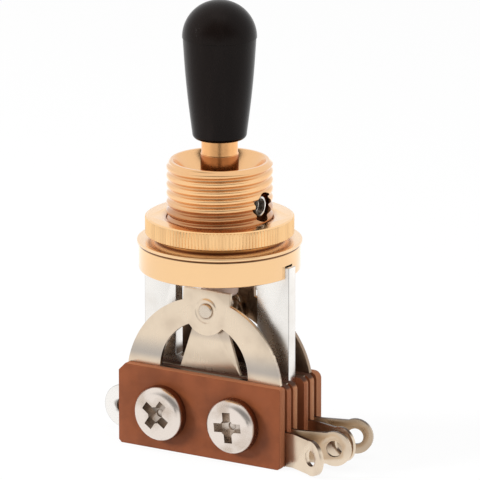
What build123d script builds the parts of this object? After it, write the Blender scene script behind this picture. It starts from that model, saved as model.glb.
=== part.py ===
from build123d import *
import os
from math import cos, radians, sin, tan

# Three-way lever switch with two pairs of leaf contacts, as fitted through a panel.
# Millimetres. +Z runs up the bushing axis and the origin is on that axis, at the top face of
# the flange. The insulator plates lie along X, and the lever swings towards -Y and +Y.

# --- Bushing, panel washer and nut ---------------------------------------------------------
thread_diameter = 11.9        # M12 x 1 over the crests
thread_length = 9.4           # from the flange's top face to the rim
thread_pitch = 1.0            # right-handed, drawn as one ring for each turn
thread_depth = 0.36           # the grooves are narrow and leave broad crests
thread_groove = 0.5           # a groove's width at the crests
thread_root = 0.12            # and at its bottom
thread_runout = 0.4           # plain length under the first turn
flange_diameter = 18.1
flange_thickness = 3.05
rim_chamfer = 0.45
mouth_diameter = 10.2         # funnel at the rim, where the lever comes out
mouth_depth = 2.6
lever_bore = 7.4
washer_overhang = 0.2         # radial, past the flange
washer_thickness = 0.35
washer_chamfer = 0.1
washer_clearance = 0.15       # radial, over the thread
nut_diameter = 16.7
nut_thickness = 2.7           # with its seat
nut_seat_height = 0.6         # turned down under the knurl, so that it bears on the washer
nut_seat_diameter = 14.6
nut_countersink = 0.4         # radial width at the nut's top face
nut_chamfer = 0.13
nut_clearance = 0.05          # radial, over the thread
knurl_teeth = 132
knurl_depth = 0.16

# --- Lever, its pivot and its tip -----------------------------------------------------------
pivot_height = 4.7            # above the flange's top face
pin_diameter = 2.5
pin_recess = 0.6              # each end below the thread
pin_cup_diameter = 1.8        # drilled into each end
pin_cup_depth = 0.8
pin_clearance = 0.03          # radial, in the lever and in the bushing
pin_counterbore = 3.0         # the wider mouth of the pin hole
pin_counterbore_depth = 1.1
neck_diameter = 4.08
shoulder_height = 10.15       # where the neck meets the barrel
barrel_diameter = 4.28
hub_diameter = 6.0            # thick part round the pivot
hub_above_pivot = 1.9
hub_below_pivot = 3.1
shank_diameter = 3.0          # the lever's lower end, inside its sleeve
sleeve_diameter = 4.2
sleeve_end_thickness = 0.6
sleeve_rounding = 0.4
push_fit = 0.02               # radial, tip on neck and sleeve on shank
tip_diameter = 8.34
tip_waist_diameter = 6.1      # just above the rounded lower edge
tip_bottom_height = 11.85
tip_length = 15.72
tip_bulge = 0.12              # how far the tapered side bows outwards
tip_step = 0.07               # ledge under the dome
tip_edge_radius = 0.6
neck_depth_in_tip = 8.6

# --- Frame plate -----------------------------------------------------------------------------
frame_thickness = 1.43
frame_width = 19.0
window_width = 10.72
window_top_width = 10.16      # between the two shoulders just under the flange
window_shoulder_drop = 1.7    # below the flange
slot_roof = 1.4               # flange metal left above the slot for each leg
leg_gap = 0.3                 # above the end of a leg
leg_clearance = 0.04          # each side of a leg, which is staked in its slot
frame_bottom_inset = 0.4      # plate edge above the bottom of the insulators
window_sill = 0.7             # window's lower edge above the insulators
ground_lug_width = 5.0
ground_lug_height = 3.0       # lug's centre above the bottom of the insulators
ground_lug_reach = 4.27       # past the end of the insulators

# --- Stack of insulators and leaves ----------------------------------------------------------
stack_drop = 14.6             # flange's top face to the top of the insulators
insulator_height = 9.4
insulator_length = 21.32
inner_insulator = 0.9
middle_insulator = 0.87
outer_insulator = 1.06
spring_leaf_thickness = 0.5
fixed_leaf_thickness = 0.4
leaf_inset = 0.66             # leaf ends inside the ends of the insulators
left_corner = 0.9             # bevelled, at the top left
right_corner = 0.85           # rounded, at the top right
front_right_corner = 0.3      # the same on the front insulator
small_corner = 0.35           # bevelled, below

# --- Spring leaves and fixed leaves ------------------------------------------------------------
arch_outer_radius = 10.14
arch_centre_drop = 1.63       # centre of the outer arc below the clamped line
arch_inner_radius = 5.8       # centred on the clamped line
tab_width = 6.1
tab_height = 9.45             # above the clamped line
tab_overlap = 0.95            # length of lever end that lies between the tabs
lobe_radius = 2.75
contact_height = 7.1          # rivets above the clamped line
leaf_lean = 3.6               # degrees inwards, above the clamp
leaf_bend_rise = 0.05         # bend line above the clamped line
tongue_base_width = 7.9
tongue_tip_radius = 2.0
tongue_over_contact = 0.75    # tongue's top above the rivet's centre
rivet_shank_diameter = 1.2
rivet_clearance = 0.03
rivet_tail_diameter = 1.7
rivet_tail_thickness = 0.25
button_diameter = 2.4
button_thickness = 0.13

# --- Solder lugs of the leaves -------------------------------------------------------------------
lug_neck_width = 3.6
front_spring_lug_neck = 3.9   # this one is nearly straight-sided
lug_head_radius = 2.0
lug_hole_diameter = 1.85
lug_bend_reach = 0.9          # bend line past the end of the insulators
front_lug_bend_reach = 1.04   # the same on the front spring leaf
front_spring_lug_length = 3.5  # bend line to the hole
back_spring_lug_length = 3.9
fixed_lug_length = 4.1
front_spring_lug_bend = -24.5  # degrees, towards +Y
back_spring_lug_bend = 16.0
front_fixed_lug_bend = 14.0
back_fixed_lug_bend = -14.0
front_spring_lug_height = 2.2  # hole above the bottom of the insulators
back_spring_lug_height = 2.6
front_fixed_lug_height = 2.45
back_fixed_lug_height = 2.55

# --- Clamping screws --------------------------------------------------------------------------------
screw_spacing = 9.5
screw_height = 4.45           # above the bottom of the insulators
screw_diameter = 3.0
screw_head_diameter = 6.3
screw_head_height = 1.7
screw_head_rounding = 0.85
screw_clearance = 0.1
screw_end_stickout = 0.6      # past the nut
recess_span = 3.6
recess_width = 1.0
recess_depth = 1.0
recess_turns = (35.0, -5.5)    # degrees, left and right screw
screw_nut_flats = 5.5
screw_nut_thickness = 2.4
screw_nut_clearance = 0.05
tube_wall = 0.5               # insulating tube round each screw
tube_clearance = 0.1          # outside the tube, in plates and leaves

# --- Places worked out from the sizes -------------------------------------------------------------------
stack_top = -stack_drop
stack_bottom = stack_top - insulator_height
washer_diameter = flange_diameter + 2 * washer_overhang
tip_centre_height = tip_bottom_height + tip_length - tip_diameter / 2
inner_plate_y = frame_thickness / 2 + inner_insulator / 2
fixed_leaf_y = frame_thickness / 2 + inner_insulator + fixed_leaf_thickness / 2
middle_plate_y = fixed_leaf_y + fixed_leaf_thickness / 2 + middle_insulator / 2
spring_leaf_y = middle_plate_y + middle_insulator / 2 + spring_leaf_thickness / 2
outer_plate_y = spring_leaf_y + spring_leaf_thickness / 2 + outer_insulator / 2
stack_half_depth = outer_plate_y + outer_insulator / 2
contact_z = stack_top + contact_height
tab_top = stack_top + tab_height
sleeve_bottom = tab_top - tab_overlap
screw_z = stack_bottom + screw_height
tube_diameter = screw_diameter + 2 * (screw_clearance + tube_wall)
FRONT, BACK = -1, 1


def side_outline(*faces):
    """Joins faces drawn on the XZ plane: local x is X and local y is Z."""
    outline = Sketch()
    for face in faces:
        outline += face
    return Plane.XZ * outline


def rectangle_between(x_low, z_low, x_high, z_high):
    middle = Pos((x_low + x_high) / 2, (z_low + z_high) / 2)
    return middle * Rectangle(x_high - x_low, z_high - z_low)


def sheet(outline, y, thickness):
    """Flat sheet of that outline, with its middle at y."""
    return Pos(0, y, 0) * extrude(outline, thickness / 2, both=True)


def pair_of_holes(diameter):
    """Both screw positions, drawn on the XZ plane."""
    return [Pos(side * screw_spacing / 2, screw_z) * Circle(diameter / 2) for side in (-1, 1)]


def turned(points):
    """Solid of revolution about Z from (radius, height) points."""
    return revolve(Plane.XZ * make_face(Polyline(*points, close=True)), Axis.Z)


def strip_outline(path, thickness):
    """Outline of a thin strip with one bend: path holds its start, bend and end."""
    start, bend, end = (Vector(*point) for point in path)
    first, second = (bend - start).normalized(), (end - bend).normalized()
    side_first, side_second = Vector(-first.Y, first.X), Vector(-second.Y, second.X)
    mitre = (side_first + side_second).normalized()
    reach = thickness / 2 / mitre.dot(side_first)
    left = [start + side_first * thickness / 2, bend + mitre * reach, end + side_second * thickness / 2]
    right = [start - side_first * thickness / 2, bend - mitre * reach, end - side_second * thickness / 2]
    return make_face(Polyline(*left, *reversed(right), close=True))


# --- Bushing, washer and nut ----------------------------------------------------------------------------


def thread_side():
    """Grooved side of the thread as (radius, height) points: one ring for each turn."""
    crest = thread_diameter / 2
    root = crest - thread_depth
    points = []
    turns = int((thread_length - rim_chamfer - thread_runout) / thread_pitch)
    for turn in range(turns):
        middle = thread_runout + (turn + 0.5) * thread_pitch
        points += [
            (crest, middle - thread_groove / 2),
            (root, middle - thread_root / 2),
            (root, middle + thread_root / 2),
            (crest, middle + thread_groove / 2),
        ]
    return points


def make_bushing():
    outer = thread_diameter / 2
    bore = lever_bore / 2
    body = turned(
        [
            (bore, -flange_thickness),
            (flange_diameter / 2, -flange_thickness),
            (flange_diameter / 2, 0),
            (outer, 0),
            *thread_side(),
            (outer, thread_length - rim_chamfer),
            (outer - rim_chamfer, thread_length),
            (mouth_diameter / 2, thread_length),
            (bore, thread_length - mouth_depth),
        ]
    )
    slot_inner = window_top_width / 2 - leg_clearance
    slot_width = frame_thickness + 2 * leg_clearance
    slot_height = flange_thickness - slot_roof
    for side in (-1, 1):
        slot_middle = side * (slot_inner + flange_diameter / 2)
        slot_z = -flange_thickness + slot_height / 2
        body -= Pos(slot_middle, 0, slot_z) * Box(flange_diameter, slot_width, slot_height)
        mouth = Pos(side * outer, 0, pivot_height) * Rot(0, 90, 0)
        body -= mouth * Cylinder(pin_counterbore / 2, 2 * pin_counterbore_depth)
    pin_hole = pin_diameter / 2 + pin_clearance
    return body - Pos(0, 0, pivot_height) * Rot(0, 90, 0) * Cylinder(pin_hole, 2 * thread_diameter)


def make_washer():
    hole = thread_diameter / 2 + washer_clearance
    washer = Cylinder(washer_diameter / 2, washer_thickness) - Cylinder(hole, washer_thickness)
    ease = min(washer_chamfer, 0.45 * washer_thickness)
    rims = washer.edges().filter_by(GeomType.CIRCLE).group_by(SortBy.RADIUS)[-1]
    return Pos(0, 0, washer_thickness / 2) * chamfer(rims, ease)


def make_nut():
    """Round nut: a turned-down seat, and a chamfered core with a band of fine teeth."""
    bore = thread_diameter / 2 + nut_clearance
    outer = nut_diameter / 2
    root = outer - knurl_depth
    core = turned(
        [
            (bore, 0),
            (nut_seat_diameter / 2, 0),
            (nut_seat_diameter / 2, nut_seat_height),
            (root - nut_chamfer, nut_seat_height),
            (root, nut_seat_height + nut_chamfer),
            (root, nut_thickness - nut_chamfer),
            (root - nut_chamfer, nut_thickness),
            (bore + nut_countersink, nut_thickness),
            (bore, nut_thickness - nut_countersink / 2),
        ]
    )
    step = 360 / knurl_teeth
    crests = []
    for tooth in range(knurl_teeth):
        for radius, turn in ((outer, tooth * step), (root, (tooth + 0.5) * step)):
            crests.append((radius * cos(radians(turn)), radius * sin(radians(turn))))
    band = make_face(Polyline(*crests, close=True)) - Circle(root - knurl_depth)
    low = nut_seat_height + nut_chamfer
    band = extrude(Pos(0, 0, low) * band, nut_thickness - nut_chamfer - low)
    return Pos(0, 0, washer_thickness) * (core + band)


# --- Lever ---------------------------------------------------------------------------------------------------


def make_pivot_pin():
    """Pin along X with a drilled cup in each end."""
    length = thread_diameter - 2 * pin_recess
    pin = Cylinder(pin_diameter / 2, length)
    pin = chamfer(pin.edges().filter_by(GeomType.CIRCLE), pin_diameter / 20)
    for end in (-1, 1):
        pin -= Pos(0, 0, end * length / 2) * Cylinder(pin_cup_diameter / 2, 2 * pin_cup_depth)
    return Pos(0, 0, pivot_height) * Rot(0, 90, 0) * pin


def make_lever():
    lever_top = tip_bottom_height + neck_depth_in_tip
    hub_top = pivot_height + hub_above_pivot
    hub_bottom = pivot_height - hub_below_pivot
    ease = (hub_diameter - barrel_diameter) / 2
    body = turned(
        [
            (0, sleeve_bottom + sleeve_end_thickness),
            (shank_diameter / 2, sleeve_bottom + sleeve_end_thickness),
            (shank_diameter / 2, hub_bottom),
            (hub_diameter / 2, hub_bottom),
            (hub_diameter / 2, hub_top - ease),
            (barrel_diameter / 2, hub_top),
            (barrel_diameter / 2, shoulder_height),
            (neck_diameter / 2, shoulder_height),
            (neck_diameter / 2, lever_top),
            (0, lever_top),
        ]
    )
    pin_hole = pin_diameter / 2 + pin_clearance
    return body - Pos(0, 0, pivot_height) * Rot(0, 90, 0) * Cylinder(pin_hole, 2 * hub_diameter)


def make_lever_sleeve():
    """Insulating sleeve on the lever's lower end, closed below, seated under the hub."""
    top = pivot_height - hub_below_pivot
    inner = shank_diameter / 2 + push_fit
    height = top - sleeve_bottom
    sleeve = Pos(0, 0, sleeve_bottom + height / 2) * Cylinder(sleeve_diameter / 2, height)
    sleeve = fillet(sleeve.edges().group_by(Axis.Z)[0], sleeve_rounding)
    hollow = height - sleeve_end_thickness
    return sleeve - Pos(0, 0, top - hollow / 2) * Cylinder(inner, hollow)


def make_tip():
    """Bullet tip: domed end over a ledge, a bowed taper and a rounded lower edge."""
    dome = tip_diameter / 2
    waist = tip_waist_diameter / 2
    waist_height = tip_bottom_height + tip_edge_radius
    bore = neck_diameter / 2 + push_fit
    bore_top = tip_bottom_height + neck_depth_in_tip
    middle = ((dome - tip_step + waist) / 2 + tip_bulge, (tip_centre_height + waist_height) / 2)
    corner = tip_edge_radius * (1 - cos(radians(45)))
    side = [
        Line((0, tip_centre_height + dome), (0, bore_top)),
        Line((0, bore_top), (bore, bore_top)),
        Line((bore, bore_top), (bore, tip_bottom_height)),
        Line((bore, tip_bottom_height), (waist - tip_edge_radius, tip_bottom_height)),
        ThreePointArc(
            (waist - tip_edge_radius, tip_bottom_height),
            (waist - corner, tip_bottom_height + corner),
            (waist, waist_height),
        ),
        ThreePointArc((waist, waist_height), middle, (dome - tip_step, tip_centre_height)),
        Line((dome - tip_step, tip_centre_height), (dome, tip_centre_height)),
        ThreePointArc(
            (dome, tip_centre_height),
            (dome * cos(radians(45)), tip_centre_height + dome * sin(radians(45))),
            (0, tip_centre_height + dome),
        ),
    ]
    return revolve(Plane.XZ * make_face(Curve() + side), Axis.Z)


# --- Frame plate ---------------------------------------------------------------------------------------------------


def make_frame_plate():
    """One stamped plate: two legs up into the flange, a clamped lower part and a ground lug."""
    bottom = stack_bottom + frame_bottom_inset
    sill = stack_top + window_sill
    shoulder = -flange_thickness - window_shoulder_drop
    top = -slot_roof - leg_gap
    half = frame_width / 2
    lug_x = -(insulator_length / 2 + ground_lug_reach - ground_lug_width / 2)
    lug_z = stack_bottom + ground_lug_height
    outline = side_outline(
        rectangle_between(-half, bottom, half, top),
        rectangle_between(lug_x, lug_z - ground_lug_width / 2, 0, lug_z + ground_lug_width / 2),
        Pos(lug_x, lug_z) * Circle(ground_lug_width / 2),
    )
    outline -= side_outline(
        rectangle_between(-window_width / 2, sill, window_width / 2, shoulder),
        rectangle_between(-window_top_width / 2, sill, window_top_width / 2, top),
        *pair_of_holes(tube_diameter + 2 * tube_clearance),
        Pos(lug_x, lug_z) * Circle(lug_hole_diameter / 2),
    )
    return sheet(outline, 0, frame_thickness)


# --- Insulators -------------------------------------------------------------------------------------------------------


def make_insulator(y, thickness, hole_diameter, top_right=right_corner):
    """Insulating plate: bevelled at the top left and below, rounded at the top right."""
    half = insulator_length / 2
    plate = Plane.XZ * rectangle_between(-half, stack_bottom, half, stack_top)
    plate = chamfer(plate.vertices().group_by(Axis.Z)[0], small_corner)
    plate = chamfer(plate.vertices().group_by(Axis.Z)[-1].sort_by(Axis.X)[:1], left_corner)
    plate = fillet(plate.vertices().group_by(Axis.Z)[-1].sort_by(Axis.X)[-1:], top_right)
    plate -= side_outline(*pair_of_holes(hole_diameter))
    return sheet(plate, y, thickness)


# --- Leaves and their lugs ------------------------------------------------------------------------------------------------


def make_lug(y, z, bend, length, thickness, reach=lug_bend_reach, neck_width=lug_neck_width):
    """Solder lug past the right end of the stack: neck with one bend, round head, wire hole."""
    start_x = insulator_length / 2 - leaf_inset - neck_width / 2
    bend_x = insulator_length / 2 + reach
    way = Vector(cos(radians(bend)), sin(radians(bend)))
    hole = Vector(bend_x, y) + way * length
    neck = strip_outline([(start_x, y), (bend_x, y), (hole.X, hole.Y)], thickness)
    lug = Pos(0, 0, z) * extrude(neck, neck_width / 2, both=True)
    across = Pos(hole.X, hole.Y, z) * Rot(0, 0, bend) * Rot(90, 0, 0)
    lug += across * Cylinder(lug_head_radius, thickness)
    return lug - across * Cylinder(lug_hole_diameter / 2, 2 * thickness)


def clamped_part():
    """The part of a leaf that lies between the insulators."""
    half = insulator_length / 2 - leaf_inset
    return rectangle_between(-half, stack_bottom + frame_bottom_inset, half, stack_top)


def arch_outline():
    outer_z = stack_top - arch_centre_drop
    arch = Pos(0, outer_z) * Circle(arch_outer_radius)
    arch += rectangle_between(-tab_width / 2, stack_top, tab_width / 2, tab_top)
    arch -= Pos(0, stack_top) * Circle(arch_inner_radius)
    arch += Pos(0, contact_z) * Circle(lobe_radius)
    reach = 2 * arch_outer_radius
    arch &= rectangle_between(-reach, stack_top, reach, stack_top + reach)
    return arch


def make_spring_leaf(side):
    """Arched leaf: its foot is clamped, and its blade leans inwards to the tab."""
    y = side * spring_leaf_y
    thickness = spring_leaf_thickness
    bend_z = stack_top + leaf_bend_rise
    inward = -side * tan(radians(leaf_lean))
    foot, bend, crown = (y, stack_bottom), (y, bend_z), (y + inward * tab_height, bend_z + tab_height)
    blade = Plane.YZ * strip_outline([foot, bend, crown], thickness)
    blade = extrude(blade, insulator_length, both=True)
    outline = side_outline(clamped_part(), arch_outline())
    outline -= side_outline(
        Pos(0, contact_z) * Circle(rivet_shank_diameter / 2 + rivet_clearance),
        *pair_of_holes(tube_diameter + 2 * tube_clearance),
    )
    leaf = blade & sheet(outline, y, 8 * thickness)
    if side == FRONT:
        lug_z = stack_bottom + front_spring_lug_height
        shape = (front_spring_lug_bend, front_spring_lug_length, thickness)
        return leaf + make_lug(y, lug_z, *shape, front_lug_bend_reach, front_spring_lug_neck)
    lug_z = stack_bottom + back_spring_lug_height
    return leaf + make_lug(y, lug_z, back_spring_lug_bend, back_spring_lug_length, thickness)


def make_fixed_leaf(side):
    """Stiff tongue behind the spring leaf, with the fixed contact near its top."""
    y = side * fixed_leaf_y
    tip_z = contact_z + tongue_over_contact - tongue_tip_radius
    base = tongue_base_width / 2
    taper = [(-base, stack_top), (base, stack_top), (tongue_tip_radius, tip_z), (-tongue_tip_radius, tip_z)]
    outline = side_outline(
        clamped_part(),
        make_face(Polyline(*taper, close=True)),
        Pos(0, tip_z) * Circle(tongue_tip_radius),
    )
    outline -= side_outline(
        Pos(0, contact_z) * Circle(rivet_shank_diameter / 2 + rivet_clearance),
        *pair_of_holes(tube_diameter + 2 * tube_clearance),
    )
    leaf = sheet(outline, y, fixed_leaf_thickness)
    height, bend = front_fixed_lug_height, front_fixed_lug_bend
    if side == BACK:
        height, bend = back_fixed_lug_height, back_fixed_lug_bend
    return leaf + make_lug(y, stack_bottom + height, bend, fixed_lug_length, fixed_leaf_thickness)


def make_rivet(leaf_thickness):
    """Contact rivet along Z: button below the leaf, tail above it, middle of the leaf at z = 0."""
    half = leaf_thickness / 2
    button = Pos(0, 0, -half - button_thickness / 2) * Cylinder(button_diameter / 2, button_thickness)
    button = chamfer(button.edges().group_by(Axis.Z)[0], button_thickness / 2)
    tail = Pos(0, 0, half + rivet_tail_thickness / 2) * Cylinder(rivet_tail_diameter / 2, rivet_tail_thickness)
    tail = chamfer(tail.edges().group_by(Axis.Z)[-1], rivet_tail_thickness / 2)
    return button + tail + Cylinder(rivet_shank_diameter / 2, leaf_thickness)


def make_moving_contact(side):
    """Rivet in the spring leaf, with its button towards the fixed contact."""
    y = side * (spring_leaf_y - (contact_height - leaf_bend_rise) * tan(radians(leaf_lean)))
    place = Pos(0, y, contact_z) * Rot(side * (leaf_lean - 90), 0, 0)
    return place * make_rivet(spring_leaf_thickness)


def make_fixed_contact(side):
    """Rivet in the tongue, with its button towards the spring leaf."""
    place = Pos(0, side * fixed_leaf_y, contact_z) * Rot(side * 90, 0, 0)
    return place * make_rivet(fixed_leaf_thickness)


# --- Screws, tubes and nuts ---------------------------------------------------------------------------------------------------


def at_both_screws(make_piece):
    """One piece at each screw position, as separate solids."""
    pieces = [Pos(side * screw_spacing / 2, 0, screw_z) * make_piece(side) for side in (-1, 1)]
    return Compound(children=pieces)


def make_screw(side):
    """Pan head screw along Y with a cross recess, its head on the front insulator."""
    head = Rot(90, 0, 0) * Cylinder(screw_head_diameter / 2, screw_head_height)
    rounding = min(screw_head_rounding, 0.6 * screw_head_height)
    head = fillet(head.edges().group_by(Axis.Y)[0], rounding)
    head = Pos(0, -stack_half_depth - screw_head_height / 2, 0) * head
    end = stack_half_depth + screw_nut_thickness + screw_end_stickout
    length = end + stack_half_depth
    shank = Pos(0, end - length / 2, 0) * Rot(90, 0, 0) * Cylinder(screw_diameter / 2, length)
    face = -stack_half_depth - screw_head_height
    recess = Pos(0, face, 0) * Rot(0, recess_turns[side > 0], 0)
    for span_x, span_z in ((recess_span, recess_width), (recess_width, recess_span)):
        head -= recess * Box(span_x, 2 * recess_depth, span_z)
    return head + shank


def make_screw_nut(side):
    hexagon = RegularPolygon(screw_nut_flats / 2, 6, major_radius=False)
    blank = extrude(Plane.XZ * hexagon, screw_nut_thickness / 2, both=True)
    hole = Rot(90, 0, 0) * Cylinder(screw_diameter / 2 + screw_nut_clearance, 2 * screw_nut_thickness)
    return Pos(0, stack_half_depth + screw_nut_thickness / 2, 0) * (blank - hole)


def make_screw_tube(side):
    length = 2 * (outer_plate_y - outer_insulator / 2)
    bore = screw_diameter / 2 + screw_clearance
    return Rot(90, 0, 0) * (Cylinder(tube_diameter / 2, length) - Cylinder(bore, length))


# --- Export -------------------------------------------------------------------------------------------------------------------------


def make_parts():
    tube_hole = tube_diameter + 2 * tube_clearance
    screw_hole = screw_diameter + 2 * screw_clearance
    parts = {
        "bushing": make_bushing(),
        "panel_washer": make_washer(),
        "knurled_nut": make_nut(),
        "pivot_pin": make_pivot_pin(),
        "lever": make_lever(),
        "lever_sleeve": make_lever_sleeve(),
        "switch_tip": make_tip(),
        "frame_plate": make_frame_plate(),
        "clamp_screws": at_both_screws(make_screw),
        "clamp_nuts": at_both_screws(make_screw_nut),
        "screw_tubes": at_both_screws(make_screw_tube),
    }
    for name, side in (("front", FRONT), ("back", BACK)):
        parts["inner_insulator_" + name] = make_insulator(side * inner_plate_y, inner_insulator, tube_hole)
        parts["middle_insulator_" + name] = make_insulator(side * middle_plate_y, middle_insulator, tube_hole)
        corner = front_right_corner if side == FRONT else right_corner
        outer_y = side * outer_plate_y
        parts["outer_insulator_" + name] = make_insulator(outer_y, outer_insulator, screw_hole, corner)
        parts[name + "_moving_contact"] = make_moving_contact(side)
        parts[name + "_fixed_contact"] = make_fixed_contact(side)
        parts[name + "_spring_leaf"] = make_spring_leaf(side)
        parts[name + "_fixed_leaf"] = make_fixed_leaf(side)
    return parts


os.makedirs("parts", exist_ok=True)
for name, shape in make_parts().items():
    export_step(shape, os.path.join("parts", name + ".step"))
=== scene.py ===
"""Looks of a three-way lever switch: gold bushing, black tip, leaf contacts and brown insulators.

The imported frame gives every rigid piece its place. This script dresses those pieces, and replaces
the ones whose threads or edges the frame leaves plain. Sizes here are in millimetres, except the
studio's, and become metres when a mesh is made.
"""

from __future__ import annotations

import logging
import math
from dataclasses import dataclass, replace
from enum import Enum
from typing import Any, Optional, Sequence, Union

import bmesh
import bpy
import numpy as np
from mathutils import Matrix, Vector

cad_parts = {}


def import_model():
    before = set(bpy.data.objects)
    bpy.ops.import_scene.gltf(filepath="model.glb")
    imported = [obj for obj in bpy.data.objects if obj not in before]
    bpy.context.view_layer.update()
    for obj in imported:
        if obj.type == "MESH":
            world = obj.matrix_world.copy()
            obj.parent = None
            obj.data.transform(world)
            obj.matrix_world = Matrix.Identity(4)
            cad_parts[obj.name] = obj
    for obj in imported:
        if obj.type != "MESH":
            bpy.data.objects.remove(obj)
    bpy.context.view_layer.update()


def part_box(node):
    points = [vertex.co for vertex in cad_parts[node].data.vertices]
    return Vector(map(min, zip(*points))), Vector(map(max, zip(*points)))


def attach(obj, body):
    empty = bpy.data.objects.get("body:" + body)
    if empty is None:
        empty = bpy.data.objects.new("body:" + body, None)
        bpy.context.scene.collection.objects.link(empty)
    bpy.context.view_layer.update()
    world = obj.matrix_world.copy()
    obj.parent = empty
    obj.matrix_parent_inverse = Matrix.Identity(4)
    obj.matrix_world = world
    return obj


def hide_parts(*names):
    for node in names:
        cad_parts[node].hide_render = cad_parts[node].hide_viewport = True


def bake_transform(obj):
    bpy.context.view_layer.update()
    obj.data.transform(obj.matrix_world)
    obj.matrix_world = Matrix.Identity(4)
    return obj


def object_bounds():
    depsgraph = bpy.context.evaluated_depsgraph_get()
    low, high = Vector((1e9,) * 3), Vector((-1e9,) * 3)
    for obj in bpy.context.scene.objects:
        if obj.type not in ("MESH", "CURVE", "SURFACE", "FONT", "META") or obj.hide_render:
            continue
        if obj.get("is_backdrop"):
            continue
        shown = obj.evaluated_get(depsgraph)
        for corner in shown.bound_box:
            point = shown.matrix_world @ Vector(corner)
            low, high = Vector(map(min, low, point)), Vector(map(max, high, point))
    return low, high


LOG = logging.getLogger("lever_switch")

MM = 0.001

# Edges that turn by less than SMOOTH_ANGLE are shaded smooth, and edges of a copied piece that turn
# by more than SHARP_ANGLE are eased. Faces that meet at less than FLAT_ANGLE become one face. A
# corner of an outline whose half angle is over STRAIGHT_HALF is not rounded.
SMOOTH_ANGLE = math.radians(32.0)
SHARP_ANGLE = math.radians(28.0)
FLAT_ANGLE = math.radians(0.4)
STRAIGHT_HALF = math.radians(89.5)

# Points closer than WELD become one, and edges shorter than SLIVER vanish. Both are in metres.
WELD = 0.0005 * MM
SLIVER = 1e-9

Colour = tuple[float, float, float]
Stretch = tuple[float, float, float]
Span = tuple[float, float]
Band = tuple[float, float, float, float]
Corner = tuple[float, float, float]


class Body(str, Enum):
    """The moving bodies of the frame."""

    FRAME = "frame"
    PIVOT = "pivot"
    LEVER = "lever"
    NUT = "nut"
    FRONT_CONTACT = "front_contact"
    BACK_CONTACT = "back_contact"


class Slot(str, Enum):
    """Material slots of the record, which the finished pieces name."""

    BLACK_PLASTIC = "black_plastic"
    GOLD = "gold_plate"
    LEVER_PLATE = "lever_plate"
    NICKEL = "nickel_plate"
    LEAF = "leaf_metal"
    CONTACT = "contact_silver"
    PHENOLIC = "phenolic"
    STEEL = "steel"


# --- Shader maths -------------------------------------------------------------------------------


class Value:
    """One shader socket. Its operators add Math nodes, so shader maths reads as Python."""

    def __init__(self, graph: Graph, socket: bpy.types.NodeSocket) -> None:
        """Keeps the socket and the graph that it belongs to."""
        self.graph = graph
        self.socket = socket

    def _math(self, operation: str, first: Any, second: Any = 0.0) -> Value:
        """Adds one Math node."""
        return self.graph.node("ShaderNodeMath", {"operation": operation}, {0: first, 1: second})

    def __add__(self, other: Any) -> Value:
        """self + other."""
        return self._math("ADD", self, other)

    __radd__ = __add__

    def __mul__(self, other: Any) -> Value:
        """self * other."""
        return self._math("MULTIPLY", self, other)

    def __sub__(self, other: Any) -> Value:
        """self - other."""
        return self._math("SUBTRACT", self, other)

    def __rsub__(self, other: Any) -> Value:
        """other - self."""
        return self._math("SUBTRACT", other, self)

    def __abs__(self) -> Value:
        """Size of self."""
        return self._math("ABSOLUTE", self)

    def root(self) -> Value:
        """Square root of self."""
        return self._math("SQRT", self)

    def sine(self) -> Value:
        """Sine of self, which is in radians."""
        return self._math("SINE", self)

    def at_least(self, other: Any) -> Value:
        """The larger of self and other."""
        return self._math("MAXIMUM", self, other)

    def rise(self, low: float, high: float) -> Value:
        """Smooth step from 0 at low to 1 at high."""
        settings = {"interpolation_type": "SMOOTHSTEP", "clamp": True}
        sockets = {"Value": self, "From Min": low, "From Max": high}
        return self.graph.node("ShaderNodeMapRange", settings, sockets)

    def fall(self, low: float, high: float) -> Value:
        """Smooth step from 1 at low to 0 at high."""
        return 1.0 - self.rise(low, high)

    def band(self, start: float, full: float, clearing: float, gone: float) -> Value:
        """Smooth step up from start to full, times one down from clearing to gone."""
        return self.rise(start, full) * self.fall(clearing, gone)


def distance(first: Value, second: Value) -> Value:
    """Length across two steps at right angles: sqrt(first^2 + second^2)."""
    return (first * first + second * second).root()


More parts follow.
